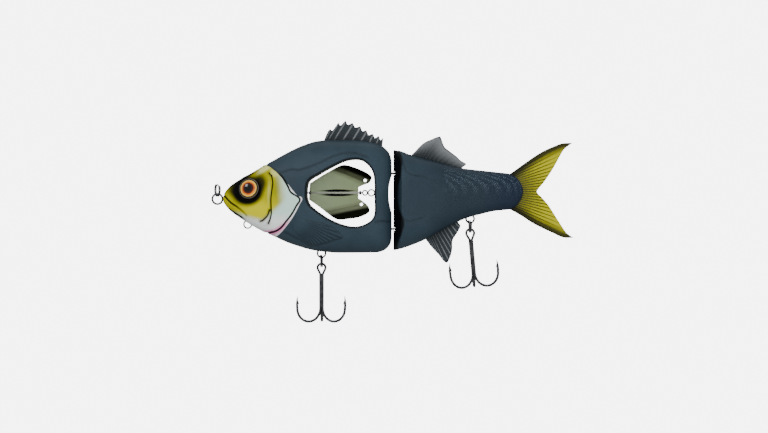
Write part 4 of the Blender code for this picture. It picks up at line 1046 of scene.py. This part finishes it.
trebleHook("front_treble", "front_hook", "front_hook", (frontHang, 0, -38.6838), 0)
trebleHook("rear_treble", "rear_hook", "rear_hook", (rearHang, 0, -18.9762), 5)
print("wires and hooks made")


# Shaft, blade and beads.

shaftZ = 3.54
shaftWire = 0.4


def alongShaft(*stations):
    return [(x, 0, shaftZ) for x in stations]


bm = bmesh.new()
for path, radius, closed in (
        (alongShaft(46.5, 60, 83), shaftWire, False),
        (circlePath((84.35, 0, shaftZ), 1.35, (0, 1, 0)), shaftWire, True),
        (circlePath((87.98, 0, shaftZ), 1.8, (0, 1, 0)), shaftWire, True),
        (alongShaft(85.65, 86.25), 0.5, False),
        (alongShaft(89.78, 92, 94.8), shaftWire, False)):
    tubeInto(bm, path, radius, sides, closed)
addPiece("shaft_wire", bm, linkWire, "root", ("prop_shaft",), wireSharp)
for label, start in (("front", 52.2), ("rear", 80.9)):
    bm = bmesh.new()
    stations = [start + step for step in (0, 0.25, 0.7, 1.15, 1.4)]
    tubeInto(bm, alongShaft(*stations), [0.75, 1.05, 1.2, 1.05, 0.75], 24)
    addPiece("shaft_bead_" + label, bm, brightWire, "prop", ("prop_bead_" + label,), wireSharp)

bladeUpper = (
    (52.8, 5.4), (60, 10), (67, 13.9), (71.3, 15.8), (75.3, 15.4), (81.3, 13.3), (86, 10.9), (88, 9),
    (87.7, 7.2), (86.2, 5.6), (82.1, 3.9), (80.6, 3.1))
bladeLower = (
    (80.6, -3.3), (82.1, -4.1), (85.3, -6.8), (86.9, -9.3), (86, -11.5), (81.3, -13.7), (75.3, -14.7),
    (68.4, -15), (62.1, -11), (58, -7.9), (52.3, -3.9))
wingFolds = (((67.3, 12.6), (82.1, 6.6), 1), ((62.1, -10.6), (82.1, -6.6), -1))
bladeHoles = ((84.4, 7.1), (82.3, -6.6))


def wingBeyond(x, z, fold):
    (x0, z0), (x1, z1), side = fold
    run = Vector((x1 - x0, z1 - z0)).normalized()
    return side * ((z - z0) * run.x - (x - x0) * run.y)


# The two wing colours and the darkest one are painted reflections on the folded wings; the shadow colour is a
# painted shadow before each fold, and the last colour is painted shadow in the pressed slots.
bladeColours = {"light": shade(208, 228, 185), "mid": shade(197, 216, 166), "upperWingReflection": shade(189, 201, 153),
                "lowerWingReflection": shade(202, 214, 172), "shadow": shade(128, 136, 106), "dark": shade(31, 34, 20),
                "slot": shade(8, 9, 8)}
bladeSizes = {"sheet": 0.66, "rise": 0.75, "bend": 0.09, "hole": 0.85}


def bladePaint():
    material, tree, shader = newMaterial("bladePlate", bladeColours["mid"], 0.3, 0.85)
    x, z = millimetres(tree)
    lift = maths(tree, "SUBTRACT", z, shaftZ)
    wing = attributeOf(tree, "wing")
    foldedWingReflection = mixed(tree, stepped(tree, lift, -1, 1), bladeColours["lowerWingReflection"], bladeColours["upperWingReflection"])
    # Painted shadow in the pressed slots beside the spine.
    middle = maths(tree, "ABSOLUTE", maths(tree, "SUBTRACT", maths(tree, "ABSOLUTE", lift), 1.15))
    ends = ovalField(tree, x, lift, (68.6, 0), (12.4, 30))
    slotWide = times(tree, stepped(tree, ends, 1, 0.1), 0.8)
    slots = stepped(tree, maths(tree, "SUBTRACT", middle, slotWide), 0.12, -0.12)
    tone = layered(tree, bladeColours["light"], (
        (stepped(tree, x, 54, 82), bladeColours["mid"]),
        # Painted shade, darker towards the lower wing.
        (stepped(tree, lift, 4, -9, 0, 0.35), bladeColours["mid"]),
        (stepped(tree, wing, -2.6, -0.2, 0, 0.5), bladeColours["shadow"]),
        # Painted reflections on the folded wings, darkest on their outer parts.
        (stepped(tree, wing, -0.2, 0.4, 0, 0.9), foldedWingReflection),
        (stepped(tree, wing, 1.6, 3.4), bladeColours["dark"]),
        (times(tree, slots, stepped(tree, ends, 1, 0.95)), bladeColours["slot"])))
    tree.links.new(tone, shader.inputs["Base Color"])
    bumped(tree, shader, grained(tree, shader, 1200, 0.28, 0.34), 0.03, 0.00003)
    return material


bladeOutline = [tuple(p) for p in smoothPath(bladeUpper, 5)] + [tuple(p) for p in smoothPath(bladeLower, 5)]
bm = bmesh.new()
bm.faces.new([bm.verts.new((x * mm, 0, z * mm)) for x, z in bladeOutline])
for fold in wingFolds:
    (x0, z0), (x1, z1), side = fold
    normal = Vector((z0 - z1, 0, x1 - x0)).normalized() * side
    for step in [-2, -1, 0, 0.2, 0.45, 0.8, 1.3, 2, 3, 4.2]:
        near = (Vector((x0, 0, z0)) + normal * step) * mm
        faces = [f for f in bm.faces if side * f.calc_center_median().z > 0 or len(bm.faces) < 3]
        parts = faces + list({e for f in faces for e in f.edges}) + list({v for f in faces for v in f.verts})
        bmesh.ops.bisect_plane(bm, geom=parts, plane_co=near, plane_no=normal, dist=1e-7)
wings = bm.verts.layers.float.new("wing")
for vert in bm.verts:
    x, z = vert.co.x / mm, vert.co.z / mm
    fold = wingFolds[0] if z > 0 else wingFolds[1]
    beyond = wingBeyond(x, z, fold)
    vert[wings] = beyond
    if beyond > 0:
        rise = bladeSizes["rise"] * beyond - bladeSizes["bend"] * (1 - math.exp(-beyond))
        vert.co.y = fold[2] * rise * mm
    vert.co.z += shaftZ * mm
bmesh.ops.triangulate(bm, faces=bm.faces)
blade = addPiece("prop_plate", bm, bladePaint(), "prop", ("prop_blade",), wireSharp)
sheet = blade.modifiers.new("sheet", "SOLIDIFY")
sheet.thickness = bladeSizes["sheet"] * mm
sheet.offset = 0
holes = []
for index, (x, z) in enumerate(bladeHoles):
    holes.append(prism("hole" + str(index), circleOf(x, z + shaftZ, bladeSizes["hole"], 32), -6, 6))
cutWith(blade, holes, wireSharp)
for hole in holes:
    bpy.data.objects.remove(hole)
spineMaterial = newMaterial("spineMetal", shade(176, 182, 166), 0.35, 0.35)[0]
bm = bmesh.new()
tubeInto(bm, alongShaft(54, 54.4, 62, 79.9, 80.6), [0.6, 0.66, 0.66, 0.8, 0.75], 24)
addPiece("prop_spine", bm, spineMaterial, "prop", ("prop_blade",), wireSharp)
print("blade made")


# Finishes for the pieces that the CAD shapes keep.

pinMetal = metalMaterial("pinMetal", shade(150, 152, 154), 0.2, 0.3, shade(118, 120, 122))
leadMetal = metalMaterial("leadMetal", shade(96, 97, 100), 0.45, 0.6, shade(70, 71, 74))
for name, material in (("hinge_pin", pinMetal), ("tail_pin", pinMetal), ("front_ballast", leadMetal),
                       ("rear_ballast", leadMetal)):
    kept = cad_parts[name]
    kept.data.materials.clear()
    kept.data.materials.append(material)


# Camera, backdrop and lights.

def lamp(name, place, target, size, power, glossy):
    light = bpy.data.lights.new(name, "AREA")
    light.shape = "RECTANGLE"
    light.size, light.size_y = size
    light.energy = power
    item = bpy.data.objects.new(name, light)
    item.location = place
    item.rotation_euler = (Vector(target) - Vector(place)).to_track_quat("-Z", "Y").to_euler()
    item.visible_glossy = glossy
    bpy.context.scene.collection.objects.link(item)


middle = Vector((0.0952, 0, -0.01))
cameraDistance = 1.2192
camera = bpy.data.objects.new("camera", bpy.data.cameras.new("camera"))
camera.data.lens = 100
camera.data.sensor_width = 36
camera.data.clip_start = 0.01
camera.location = middle + Vector((0, -cameraDistance, 0))
camera.rotation_euler = (math.radians(90), 0, 0)
bpy.context.scene.collection.objects.link(camera)
bpy.context.scene.camera = camera

# A white seamless surround that gives no light of its own to the object.
studio = {"backdropGlow": 6, "backdropRadius": 6, "worldGlow": 0.3}
backdropMaterial, tree, shader = newMaterial("backdrop", (0.9, 0.9, 0.9, 1), 1)
shader.inputs["Emission Color"].default_value = (1, 1, 1, 1)
shader.inputs["Emission Strength"].default_value = studio["backdropGlow"]
bm = bmesh.new()
bmesh.ops.create_uvsphere(bm, u_segments=48, v_segments=24, radius=studio["backdropRadius"])
mesh = bpy.data.meshes.new("backdrop")
bm.to_mesh(mesh)
bm.free()
mesh.materials.append(backdropMaterial)
backdrop = bpy.data.objects.new("backdrop", mesh)
bpy.context.scene.collection.objects.link(backdrop)
for ray in ("diffuse", "glossy", "shadow", "transmission"):
    setattr(backdrop, "visible_" + ray, False)

world = bpy.data.worlds.new("studio")
world.use_nodes = True
background = world.node_tree.nodes["Background"].inputs
background["Color"].default_value = (1, 1, 1, 1)
background["Strength"].default_value = studio["worldGlow"]
bpy.context.scene.world = world
# Name, place, target, size, power, and whether it shows in reflections.
for light in (("keyLight", (-0.3, -1.3, 0.6), (0.09, 0, 0), (1.2, 0.8), 13, False),
              ("fillLight", (0.6, -1.2, -0.35), (0.1, 0, 0), (0.9, 0.6), 8.6, False),
              ("glintLight", (-0.95, -0.85, 0.95), (0.03, 0, 0), (0.35, 0.35), 2.6, True),
              ("rearFill", (0.25, 1.3, 0.35), (0.09, 0, 0), (1.2, 0.8), 17, False),
              ("topLight", (0.1, 0.1, 0.85), (0.1, 0, 0), (0.8, 0.3), 0.8, True)):
    lamp(*light)
